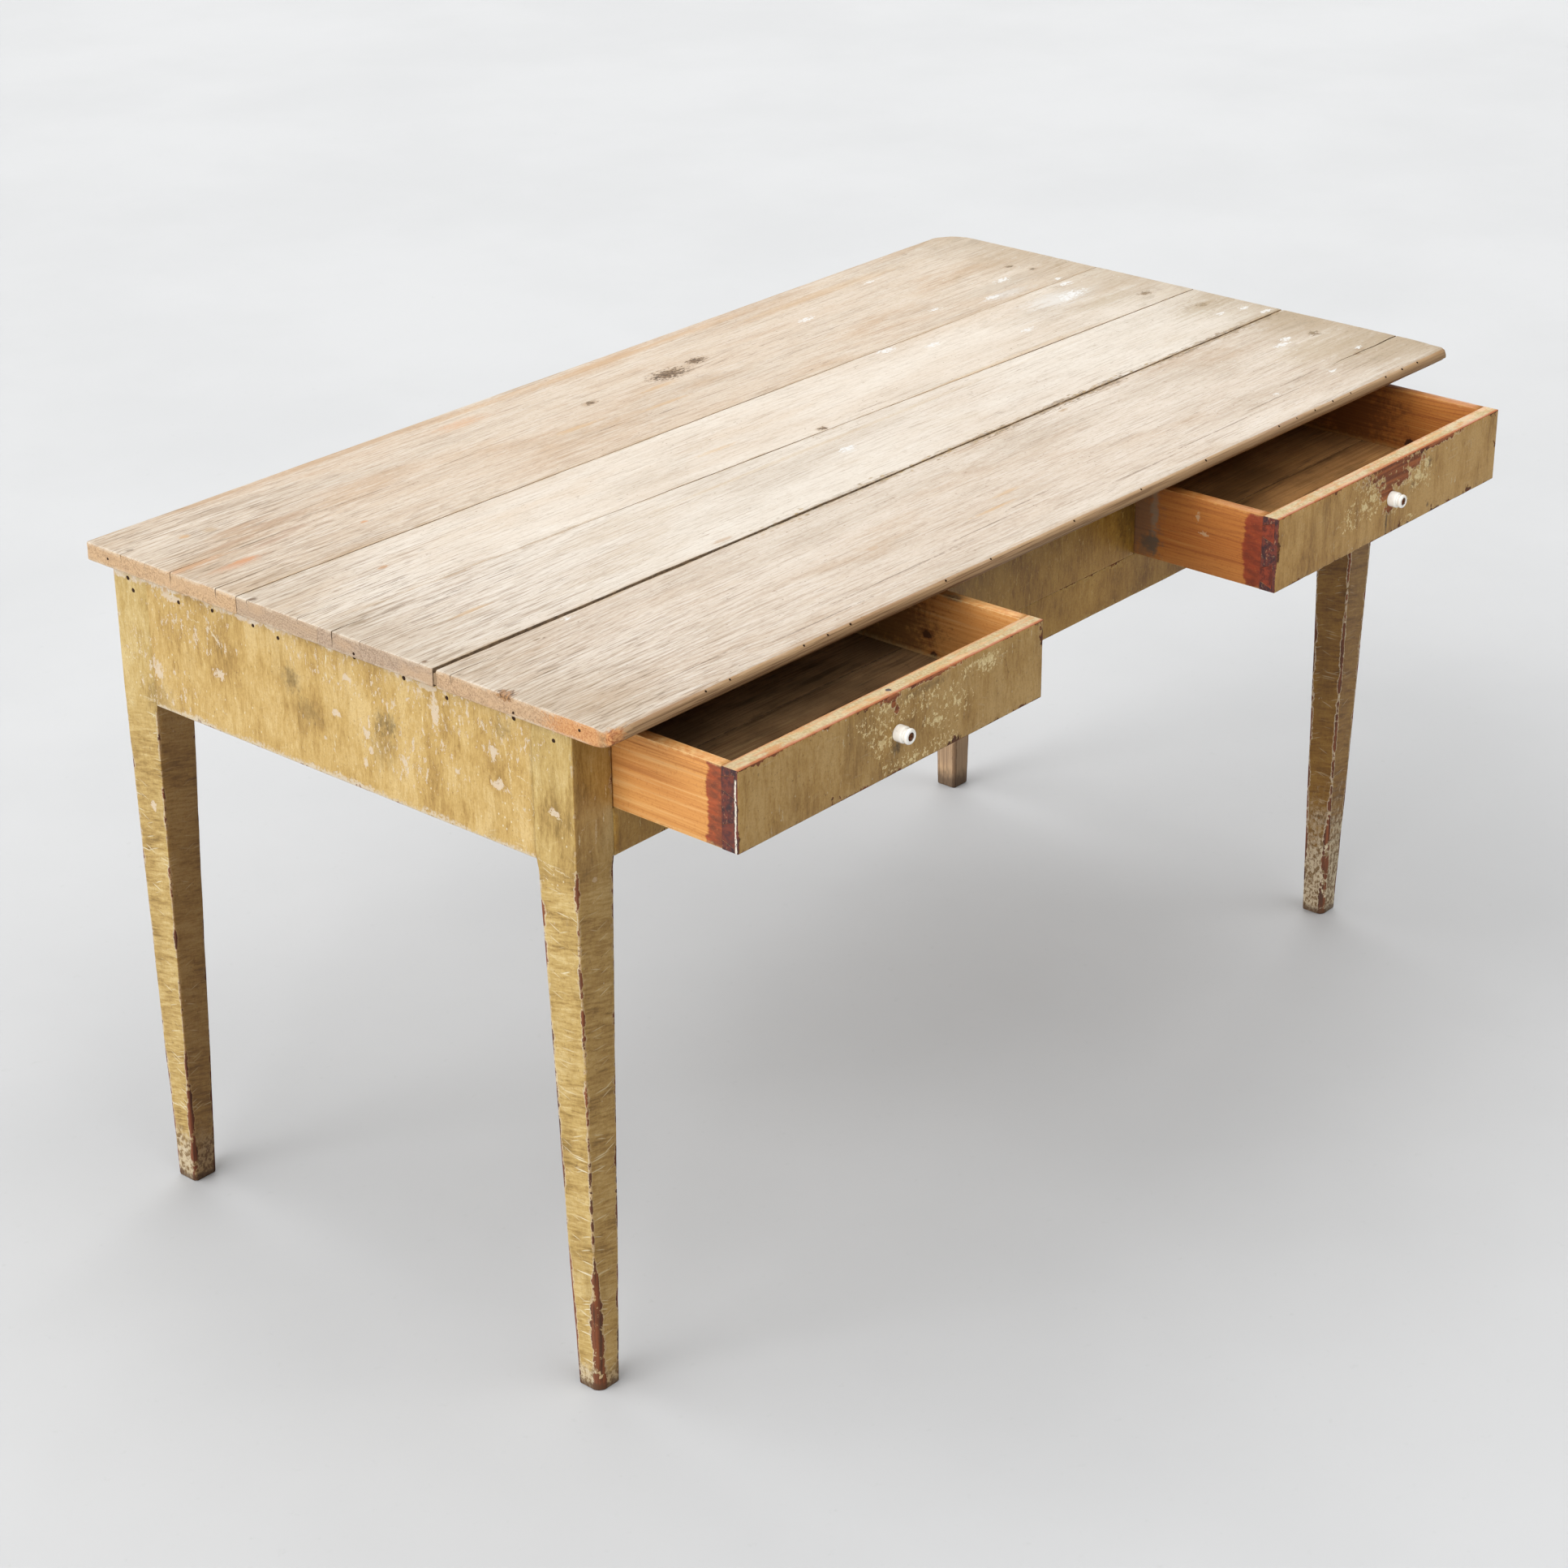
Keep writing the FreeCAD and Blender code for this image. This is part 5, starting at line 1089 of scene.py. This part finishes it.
# dirt packed into the gap behind the front board, with pale filler left in its middle part
verts, faces = [], []
count = 200
for i in range(count + 1):
    x = -HALF + 0.0010 + (2 * HALF - 0.0020) * i / count
    u = (x + HALF) / (2 * HALF)
    lo_y = lerp(-0.0786, -0.0829, u) - 0.0006 + 0.0026 * smooth((x + 0.34) / 0.42) - 0.0012
    hi_y = lerp(-0.0740, -0.0783, u) + 0.0012
    hump = 0.0022 * smooth((0.235 - abs(x + 0.22)) / 0.05) + (0.0036 + 0.0009 * wob(x * 17, 3.0)) * smooth((x + 0.08) / 0.12)
    for k in range(5):
        t = k / 4
        z = 0.7645 + hump + 0.0012 * wob(x * 70, k * 1.3, 2.0) + 0.0008 * wob(x * 190, k * 2.9, 6.0)
        verts.append((x, lerp(lo_y, hi_y, t), z))
    verts.append((x, hi_y, 0.7530))
    verts.append((x, lo_y, 0.7530))
for i in range(count):
    for k in range(7):
        a, b = i * 7 + k, i * 7 + (k + 1) % 7
        faces.append((a, b, b + 7, a + 7))
faces.append(tuple(reversed(range(7))))
faces.append(tuple(count * 7 + k for k in range(7)))
m = Mat("gap_dirt", 0.9, 0.15)
n1 = m.noise(m.at((120, 420, 300)), 4, 0.65)
n2 = m.noise(m.at((45, 260, 120), (3.0, 1.0, 2.0)), 4, 0.65)
dirt = m.mix(m.step(n1, 0.38, 0.62), C(164, 138, 108), C(96, 78, 60))
dirt = m.mix(m.mul(m.step(m.x, -0.10, 0.05), m.step(m.noise(m.at((16, 40, 40), (5.0, 2.0, 1.0)), 4, 0.65), 0.42, 0.56)), dirt, m.mix(m.step(n2, 0.4, 0.6), C(206, 180, 144), C(150, 122, 92)))
pale_here = m.mul(m.step(m.math("ABSOLUTE", m.add(m.x, 0.15)), 0.19, 0.12), m.step(n2, 0.45, 0.53))
dirt = m.mix(m.mul(m.step(m.math('ABSOLUTE', m.x), 0.716, 0.721), 0.7), dirt, C(186, 156, 122))
dirt = m.mix(m.mul(pale_here, 0.9), dirt, m.mix(m.step(n1, 0.4, 0.6), C(232, 230, 212), C(188, 180, 156)))
add_piece("look_gap_dirt", verts, faces, m.finish(dirt, m.step(n1, 0.3, 0.7, 0.8, 0.95), n1, 0.5, 0.0006), "frame", [], {"wear": [0.0] * len(verts), "edge": [0.01] * len(verts)}, 60)

# small iron tacks, driven in along the front edge, the left end and the top of the left apron
verts, faces, count = [], [], 0


def tack(p, out, r, seed):
    """A low worn head of radius r, with its foot sunk into the wood. out points away from the surface."""
    n = Vector(out).normalized()
    u = n.orthogonal().normalized()
    v = n.cross(u)
    base = len(verts)
    for k, (rr, up_) in enumerate(((0.55, -0.0012), (1.0, -0.0002), (0.92, 0.00018), (0.55, 0.00034))):
        for j in range(9):
            a = 2 * math.pi * j / 9
            w = 1 + 0.28 * wob(math.cos(a) * 1.4 + seed * 3.3, math.sin(a) * 1.4, seed)
            verts.append(tuple(Vector(p) + (u * math.cos(a) + v * math.sin(a)) * r * rr * w + n * up_))
    for k in range(3):
        for j in range(9):
            a, b = base + k * 9 + j, base + k * 9 + (j + 1) % 9
            faces.append((a, b, b + 9, a + 9))
    faces.append(tuple(base + j for j in reversed(range(9))))
    faces.append(tuple(base + 27 + j for j in range(9)))


nosing = [0.6558, 0.6228, 0.5869, 0.5114, 0.4741, 0.4365, 0.3993, 0.3636, -0.1613, -0.2353, -0.3834, -0.4178, -0.4527, -0.5591, -0.5931, 0.10, 0.22, -0.02]
for i, x in enumerate(nosing):
    front_y = lerp(-0.3055, -0.3142, (x + HALF) / (2 * HALF))
    a = math.radians(46 + 9 * wob(i * 3.7))
    c = (x, front_y + 0.008, TOP - 0.008 - 0.0004)
    n = (0.0, -math.cos(a), math.sin(a))
    tack(tuple(c[k] + n[k] * 0.0080 for k in range(3)), n, 0.0013 + 0.0004 * wob(i * 5.1), float(i))
for i, (y, z) in enumerate(((0.4037, 0.7594), (0.0356, 0.7545), (-0.1806, 0.7545), (-0.2655, 0.7613))):
    tack((-HALF + 0.0001, y, z), (-1, 0, 0), 0.0016, 30.0 + i)
apron_tacks = [(0.3149, 0.7295), (0.2624, 0.7342), (0.2010, 0.7344), (0.1640, 0.7310), (0.0526, 0.7408), (-0.0166, 0.7383), (-0.0752, 0.7341), (-0.1647, 0.7388), (-0.2161, 0.7309), (0.3941, 0.7358), (0.3871, 0.7237)]
for i, (y, z) in enumerate(apron_tacks):
    tack((-0.7072, y, z), (-1, 0, 0), 0.0024 + 0.0005 * wob(i * 7.7), 50.0 + i)
add_piece("look_tacks", verts, faces, rust("rust_tacks", 9.0, 0.48), "frame", [], {"wear": [0.0] * len(verts), "edge": [0.01] * len(verts)}, 60)

# ---------------------------------------------------------------- painted frame
LX = -0.7072
left_chips = [((LX, -0.1408, 0.6623), (0.01, 0.014, 0.0065)), ((LX, 0.041, 0.662), (0.01, 0.006, 0.007)), ((LX, 0.0365, 0.647), (0.01, 0.004, 0.006)), ((LX, 0.046, 0.630), (0.01, 0.004, 0.006)),
              ((LX, -0.1363, 0.6933), (0.01, 0.006, 0.012)), ((LX, -0.0575, 0.716), (0.01, 0.0065, 0.028)), ((LX, -0.0096, 0.649), (0.01, 0.005, 0.006)), ((LX, -0.0833, 0.660), (0.01, 0.005, 0.004)),
              ((LX, -0.2142, 0.6563), (0.01, 0.008, 0.005)), ((LX, 0.2593, 0.6647), (0.01, 0.012, 0.007)), ((LX, 0.3582, 0.6434), (0.01, 0.008, 0.013)), ((LX, -0.05, 0.738), (0.01, 0.026, 0.004)),
              ((LX, 0.085, 0.672), (0.01, 0.009, 0.005)), ((LX, 0.3257, 0.732), (0.01, 0.022, 0.006)), ((LX, 0.2128, 0.739), (0.01, 0.03, 0.005)), ((LX, 0.066, 0.715), (0.01, 0.008, 0.005)), ((LX, 0.3913, 0.4754), (0.01, 0.006, 0.007))]
left_specks = [((LX, 0.05, 0.72), (0.01, 0.09, 0.022)), ((LX, -0.12, 0.715), (0.01, 0.08, 0.02)), ((LX, 0.30, 0.715), (0.01, 0.06, 0.03)), ((LX, 0.345, 0.625), (0.01, 0.04, 0.024)), ((LX, 0.38, 0.66), (0.01, 0.02, 0.03)), ((LX, -0.02, 0.66), (0.01, 0.06, 0.03))]
left_smudges = [((LX, 0.014, 0.681), (0.01, 0.022, 0.018), 0.62), ((LX, 0.149, 0.690), (0.01, 0.017, 0.018), 0.58), ((LX, 0.1256, 0.662), (0.01, 0.024, 0.018), 0.35), ((LX, -0.1495, 0.7227), (0.01, 0.018, 0.016), 0.40), ((LX, 0.02, 0.655), (0.01, 0.03, 0.03), 0.25), ((LX, 0.36, 0.61), (0.01, 0.03, 0.03), 0.3)]
left_scars = [((LX, -0.1505, 0.708), (LX, -0.1563, 0.6831), 0.0008), ((LX, -0.1563, 0.6831), (LX, -0.1575, 0.6499), 0.0008), ((LX, -0.1563, 0.6831), (LX, -0.180, 0.676), 0.0007), ((LX, -0.1575, 0.6499), (LX, -0.164, 0.640), 0.0008),
              ((LX, 0.2700, 0.7125), (LX, 0.2560, 0.700), 0.0016), ((LX, 0.3000, 0.7155), (LX, 0.2840, 0.7150), 0.0009), ((LX, -0.205, 0.654), (LX, -0.224, 0.650), 0.0008), ((LX, -0.190, 0.600), (LX, -0.236, 0.592), 0.0008), ((LX, -0.196, 0.583), (LX, -0.236, 0.566), 0.0008), ((LX, -0.192, 0.545), (LX, -0.236, 0.528), 0.0008)]
for k in range(9):
    a0, a1 = 0.9 + k * 0.58, 0.9 + (k + 0.9) * 0.58
    left_scars.append(((LX, -0.1748 + 0.0115 * math.cos(a0), 0.649 + 0.0130 * math.sin(a0)), (LX, -0.1748 + 0.0115 * math.cos(a1), 0.649 + 0.0130 * math.sin(a1)), 0.0006))
paint_left = ochre("ochre_left", 1.0, left_chips, left_specks, left_smudges, (), left_scars, legs=True, raw=(1, 0, 0), chipping=0.40, tint=(1.04, 0.99, 0.94), strip=True, lift=0.042)
leg_scars = [((-0.678, -0.2393, 0.644), (-0.6788, -0.2393, 0.622), 0.0016), ((-0.686, -0.2393, 0.560), (-0.672, -0.2393, 0.566), 0.0009), ((-0.697, -0.2393, 0.470), (-0.680, -0.2393, 0.478), 0.0008), ((-0.690, -0.2393, 0.400), (-0.672, -0.2393, 0.392), 0.0008), ((-0.695, -0.2393, 0.612), (-0.676, -0.2393, 0.622), 0.0006), ((-0.70, -0.2393, 0.64), (-0.69, -0.2393, 0.645), 0.0006)]
paint_leg = ochre("ochre_leg_front_left", 1.0, left_chips + [((-0.6827, -0.2393, 0.5836), (0.004, 0.01, 0.005))], left_specks, left_smudges, (), left_scars[:4] + left_scars[6:] + leg_scars, legs=True, chipping=0.25, strip=True, foot=0.024, prime=0.75, lift=0.015, hold=0.16)
# front on this leg is a strong painted shade on its faces under the table top
paint_leg_rear = ochre("ochre_leg_rear_left", 1.0, left_chips, left_specks, left_smudges, (), (), legs=True, chipping=0.25, strip=True, front=(0.66, 0.50, 0.33), foot=0.055, prime=0.8, lift=0.030, hold=0.30)
# front is a painted shade on the rails' and panel's faces under the table top; the smudge beside the right drawer is
# partly painted shade, partly grime
paint_front = ochre("ochre_front", 2.0, smudges=[((0.172, -0.2393, 0.705), (0.030, 0.01, 0.060), 0.55)], legs=True, raw=(0, 1, 0), front=(0.87, 0.675, 0.31), specks=[((-0.05, -0.2393, 0.70), (0.14, 0.01, 0.03))])
# tint is a painted shade over the whole front right leg, and front lifts its faces that look along Y back up
paint_right = ochre("ochre_leg_front_right", 3.0, legs=True, chipping=0.15, tint=(0.47, 0.33, 0.14), front=(1.29, 1.31, 1.29), foot=0.125, prime=0.8, hold=0.06, scratchy=0.24)
# tint is a milder painted shade, to go with the front right leg
paint_right_apron = ochre("ochre_right_apron", 3.0, legs=True, raw=(-1, 0, 0), strip=True, tint=(0.80, 0.70, 0.52))
paint_rear = ochre("ochre_rear", 4.0, legs=True, raw=(0, -1, 0))

leg("leg_front_left", -1, -1, (-0.6794, -0.2185), paint_leg, 1.0, (0.0078, 0.002, 0.001, 0.002))
leg("leg_front_right", 1, -1, (0.6808, -0.2127), paint_right, 2.0, (0.0056, 0.002, 0.001, 0.002))
leg("leg_rear_left", -1, 1, (-0.6799, 0.4066), paint_leg_rear, 3.0, (0.003, 0.001, 0.002, 0.003))
leg("leg_rear_right", 1, 1, (0.6763, 0.3855), bare_leg("bare_leg", 4.0), 4.0, (0.003, 0.002, 0.002, 0.001))

worn("apron_left", paint_left, "frame", [(long_edges(0.3), 0.0014, 3)], (0, 0.010, 0.010), 0.00022, 0.0035, 1.0, 0.0006)
worn("apron_right", paint_right_apron, "frame", [(long_edges(0.3), 0.0014, 3)], (0, 0.012, 0.012), 0.00022, 0.0035, 2.0, 0.0005)
worn("apron_rear", paint_rear, "frame", [(long_edges(0.3), 0.0014, 3)], (0.014, 0, 0.014), 0.00022, 0.0035, 3.0, 0.0005)
worn("rail_front_lower", paint_front, "frame", [(long_edges(0.3), 0.0008, 3)], (0.012, 0, 0.010), 0.0002, 0.0020, 4.0, 0.0004)
worn("rail_front_upper", plain_pine("pine_upper_rail", 5, 0), "frame", [(long_edges(0.3), 0.0008, 2)], (0.02, 0, 0), 0.0001, 0.002, 5.0)
worn("panel_front_center", paint_front, "frame", [(lambda a, b: a.y < -0.2392 and b.y < -0.2392, 0.0003, 2)], (0.012, 0, 0.012), 0.0002, 0.0003, 6.0, 0.0)

hidden_y = plain_pine("pine_runners", 6, 1)
hidden_x = plain_pine("pine_blocks", 7, 0)
for n in ("runner_left_outer", "runner_left_inner", "runner_right_inner", "runner_right_outer", "guide_left_outer", "guide_left_inner", "guide_right_inner", "guide_right_outer", "kicker_left", "kicker_right"):
    worn(n, hidden_y, "frame", [(long_edges(0.2), 0.0012, 2)], (0, 0.03, 0), 0.00015, 0.003, 3.0)
for n in ("glue_blocks", "drawer_stops"):
    worn(n, hidden_x, "frame", [(lambda a, b: True, 0.0009, 2)], (0, 0, 0), 0.0001, 0.002, 5.0)

# ---------------------------------------------------------------- drawers
DRAWERS = {
    "left": dict(x0=-0.6536, x1=-0.1910, y=-0.3961, seed=1.0),
    "right": dict(x0=0.1910, x1=0.6536, y=-0.4245, seed=2.0),
}
Z0 = 0.6496
for side, d in DRAWERS.items():
    body = side + "_drawer"
    pre = "drawer_" + side + "_"
    y, xc = d["y"], (d["x0"] + d["x1"]) / 2
    kz = 0.692
    face = y

    def at(x, z, rx, rz):
        return ((x, face, z), (rx, 0.02, rz))

    if side == "left":
        chips = [at(-0.285, 0.7205, 0.016, 0.006), at(-0.447, 0.688, 0.008, 0.006), at(-0.360, 0.684, 0.010, 0.005)]
        specks = [at(-0.452, 0.715, 0.034, 0.014), at(-0.446, 0.688, 0.020, 0.016), at(-0.428, 0.659, 0.020, 0.007), at(-0.345, 0.690, 0.036, 0.018), at(-0.285, 0.719, 0.032, 0.010), at(-0.355, 0.659, 0.03, 0.007), at(-0.391, 0.658, 0.03, 0.006), at(-0.39, 0.712, 0.03, 0.012)]
        rusts = [at(-0.4290, 0.7250, 0.004, 0.007), at(-0.4240, 0.7170, 0.0035, 0.005), at(-0.434, 0.731, 0.016, 0.004), at(-0.37, 0.7335, 0.045, 0.0035)]
        smudges = [(*at(-0.4230, 0.677, 0.010, 0.012), 0.75), (*at(-0.38, 0.725, 0.05, 0.007), 0.45)]
        scars = []
    else:
        chips = [at(0.385, 0.703, 0.010, 0.006), at(0.366, 0.697, 0.010, 0.006), at(0.482, 0.703, 0.012, 0.008), at(0.497, 0.714, 0.008, 0.008)]
        specks = [at(0.374, 0.701, 0.044, 0.019), at(0.480, 0.703, 0.030, 0.017), at(0.463, 0.656, 0.014, 0.007), at(0.44, 0.682, 0.02, 0.010), at(0.345, 0.69, 0.03, 0.012)]
        rusts = [at(0.420, 0.7290, 0.058, 0.010), at(0.428, 0.715, 0.034, 0.012), at(0.414, 0.702, 0.016, 0.012), at(0.468, 0.7235, 0.022, 0.009), at(0.448, 0.710, 0.014, 0.009), at(0.52, 0.7325, 0.05, 0.004), at(0.418, 0.681, 0.010, 0.006)]
        smudges = [(*at(0.500, 0.713, 0.010, 0.008), 0.9), (*at(0.470, 0.695, 0.010, 0.008), 0.6), (*at(0.4158, 0.665, 0.0022, 0.020), 1.0), (*at(0.5055, 0.661, 0.004, 0.004), 0.8), (*at(0.416, 0.682, 0.008, 0.008), 0.6)]
        scars = []
    # front darkens each drawer front's face, a painted shade
    paint = ochre("ochre_drawer_" + side, 5.0 + d["seed"], chips, specks, smudges, rusts, scars, legs=False, raw=(0, 1, 0), chipping=0.0, face=face, white=-1.0 if side == "left" else 0.0, prime=0.15, holes=[((-0.4246, -0.386, 0.7344), 0.0038)] if side == "left" else [], front=(0.94, 0.79, 0.61) if side == "left" else (1.03, 0.83, 0.58))
    worn(pre + "front", paint, body,
         [(lambda a, b: a.y < face + 1e-4 and b.y < face + 1e-4, 0.0014, 3), (lambda a, b: a.y > face + 0.0198 and b.y > face + 0.0198 and a.z > 0.734 and b.z > 0.734, 0.0012, 2)],
         (0.010, 0, 0.010), 0.00018, 0.0026, d["seed"], 0.0005)
    if side == "left":
        # the last grey spot darkens the inner right side towards the back, a painted shade under the table top
        side_mat = drawer_wood("pine_drawer_side_left", 1.0, 1, gain=(1.10, 1.08, 1.02), knots=[((d["x1"] - 0.014, -0.2596, 0.6857), 0.007), ((d["x1"] - 0.014, -0.2684, 0.6655), 0.006)], front_y=y + 0.020, middle_x=xc, reach=(0.017, 0.0),
                               reds=(C(172, 76, 42), C(112, 52, 38)), tails=(C(118, 58, 46), C(76, 44, 46)), grey=[((-0.2021, -0.2913, 0.7344), (0.010, 0.016, 0.004), 0.9, C(66, 40, 34)), ((d["x1"] - 0.014, y + 0.190, 0.690), (0.006, 0.085, 0.075), 0.66, C(92, 56, 30))])
    else:
        # gain darkens and browns these sides, a painted shade; the last grey spot darkens the inner right side towards
        # the back, a painted shade under the table top
        side_mat = drawer_wood("pine_drawer_side_right", 2.0, 1, gain=(0.72, 0.53, 0.34), knots=[((d["x1"] - 0.014, y + 0.105, 0.672), 0.008)], front_y=y + 0.020, middle_x=xc, reach=(0.008, 0.016),
                               reds=(C(176, 78, 46), C(136, 54, 34)), tails=(C(176, 86, 64), C(112, 54, 50)), ragged=0.35,
                               grey=[((d["x0"], y + 0.175, 0.69), (0.02, 0.030, 0.09), 0.62, C(150, 144, 140)), ((d["x0"], y + 0.160, 0.71), (0.02, 0.007, 0.05), 0.5, C(196, 200, 206)), ((d["x0"], y + 0.163, 0.668), (0.02, 0.016, 0.014), 0.85, C(126, 126, 128)), ((d["x1"] - 0.014, y + 0.185, 0.695), (0.006, 0.085, 0.075), 0.62, C(112, 68, 36))],
                               marks=[((d["x0"], y + 0.103, 0.712), (0.01, 0.004, 0.008)), ((d["x0"], y + 0.095, 0.695), (0.01, 0.008, 0.004))])
    back_mat = drawer_wood("pine_drawer_back_" + side, d["seed"] + 3, 0)
    for n in ("side_left", "side_right"):
        worn(pre + n, side_mat, body, [(long_edges(0.3), 0.0010, 2)], (0, 0.012, 0.012), 0.00012, 0.0026, d["seed"] + 2)
    worn(pre + "back", back_mat, body, [(long_edges(0.3), 0.0008, 2)], (0.015, 0, 0.015), 0.00012, 0.0022, d["seed"] + 4)
    for k, n in enumerate(("floor_front", "floor_mid", "floor_rear")):
        # gain lightens the floors, a painted light for the dim drawer insides, more so in the right drawer
        fm = drawer_wood("pine_floor_%s_%d" % (side, k), d["seed"] * 3 + k, 0, C(222, 176, 126), C(198, 150, 102), C(140, 98, 62), gain=(1.12, 1.20, 1.25) if side == "left" else (1.55, 1.45, 1.16), age=0.62, rim=C(52, 36, 26))
        worn(pre + n, fm, body, [(long_edges(0.3), 0.0011, 2)], (0.02, 0.012, 0), 0.00015, 0.0024, d["seed"] + 5 + k)
    # porcelain knob: drum, groove and bead, with a well for the screw
    R, N, B, Wl = 0.00875, 0.0062, 0.0083 if side == "left" else 0.0078, 0.0044
    prof, wr = [], []

    def add(r, f, w=0.0):
        prof.append((r, f))
        wr.append(w)

    add(R - 0.0012, 0.0, 0.9)
    add(R - 0.0005, 0.0002, 0.8)
    add(R - 0.0001, 0.0008, 0.3)
    for k in range(5):
        add(R, 0.0015 + 0.0015 * k)
    for k in range(1, 8):
        a = math.radians(90 * k / 7)
        add(R - 0.0020 + 0.0020 * math.cos(a), 0.0085 + 0.0020 * math.sin(a))
    add(N + 0.0002, 0.0106, 0.3)
    add(N, 0.0111, 0.45)
    add(N + 0.0001, 0.0118, 0.3)
    for k in range(0, 15):
        a = math.radians(-75 + 165 * k / 14)
        add(B - 0.0024 + 0.0024 * math.cos(a), 0.01455 + 0.0026 * math.sin(a), 0.25 if k < 2 else 0.0)
    add(Wl + 0.0004, 0.0170, 0.35)
    add(Wl, 0.0166, 0.7)
    add(Wl, 0.0150, 1.0)
    add(Wl, 0.0138, 1.0)
    add(0.0022, 0.0136, 1.0)
    lathe("look_" + pre + "knob", prof, (xc, y, kz), porcelain("porcelain_" + side, d["seed"]), body, [pre + "knob"], wear=wr, bumps=0.004)
    iron = rust("rust_" + side, d["seed"], 1.1)
    for n in ("knob_screw", "nails"):
        NODES[pre + n].data.materials.clear()
        NODES[pre + n].data.materials.append(iron)

# ---------------------------------------------------------------- floor, light, camera
me = bpy.data.meshes.new("floor")
G, n = 24.0, 24
gv = [(-G + 2 * G * i / n, -G + 2 * G * j / n, 0.0) for j in range(n + 1) for i in range(n + 1)]
gf = [(j * (n + 1) + i, j * (n + 1) + i + 1, (j + 1) * (n + 1) + i + 1, (j + 1) * (n + 1) + i) for j in range(n) for i in range(n)]
me.from_pydata(gv, [], gf)
floor = bpy.data.objects.new("floor", me)
bpy.context.scene.collection.objects.link(floor)
m = Mat("pale_floor", 0.7, 0.2)
cloud = m.noise(m.at((1.4, 1.4, 1.4)), 4, 0.6)
grit = m.noise(m.at((60, 60, 60)), 4, 0.7)
fc = m.mix(m.step(cloud, 0.3, 0.7), C(227, 228, 229), C(222, 223, 224))
fc = m.mix(m.mul(m.step(grit, 0.6, 0.8), 0.25), fc, C(196, 195, 193))
me.materials.append(m.finish(fc, None, grit, 0.08, 0.001))


def sun(name, direction, strength, angle, colour=(1, 1, 1)):
    data = bpy.data.lights.new(name, "SUN")
    data.energy = strength
    data.angle = math.radians(angle)
    data.color = colour
    ob = bpy.data.objects.new(name, data)
    ob.rotation_euler = Vector(direction).to_track_quat("Z", "Y").to_euler()
    bpy.context.scene.collection.objects.link(ob)


sun("left", (-0.9272, 0.0, 0.3746), 3.55, 60)
sun("left_rear", (-0.5, 0.5, 0.7071), 2.14, 60)
sun("above", (0.3746, 0.0, 0.9272), 1.05, 60)
sun("front", (0.10, -0.60, 0.85), 1.30, 50)
sun("back", (0.6556, 0.6556, 0.3746), 1.80, 60)
world = bpy.data.worlds.new("studio")
bpy.context.scene.world = world
world.use_nodes = True
world.node_tree.nodes["Background"].inputs[0].default_value = (1.0, 1.0, 1.0, 1)
world.node_tree.nodes["Background"].inputs[1].default_value = 0.02

yaw, pitch, roll = 0.8585568, 0.4443386, -0.0072401
fwd = Vector((math.sin(yaw) * math.cos(pitch), math.cos(yaw) * math.cos(pitch), -math.sin(pitch)))
right = Vector((math.cos(yaw), -math.sin(yaw), 0))
up = right.cross(fwd)
r2 = right * math.cos(roll) + up * math.sin(roll)
u2 = up * math.cos(roll) - right * math.sin(roll)
cam_data = bpy.data.cameras.new("camera")
cam_data.sensor_width = 36.0
cam_data.lens = 4206.38 * 36.0 / 1932.0
cam_data.clip_end = 100
cam = bpy.data.objects.new("camera", cam_data)
cam.matrix_world = Matrix(((r2.x, u2.x, -fwd.x, -2.74254), (r2.y, u2.y, -fwd.y, -2.25516), (r2.z, u2.z, -fwd.z, 2.05271), (0, 0, 0, 1)))
bpy.context.scene.collection.objects.link(cam)
bpy.context.scene.camera = cam
bpy.context.scene.view_settings.view_transform = "Standard"
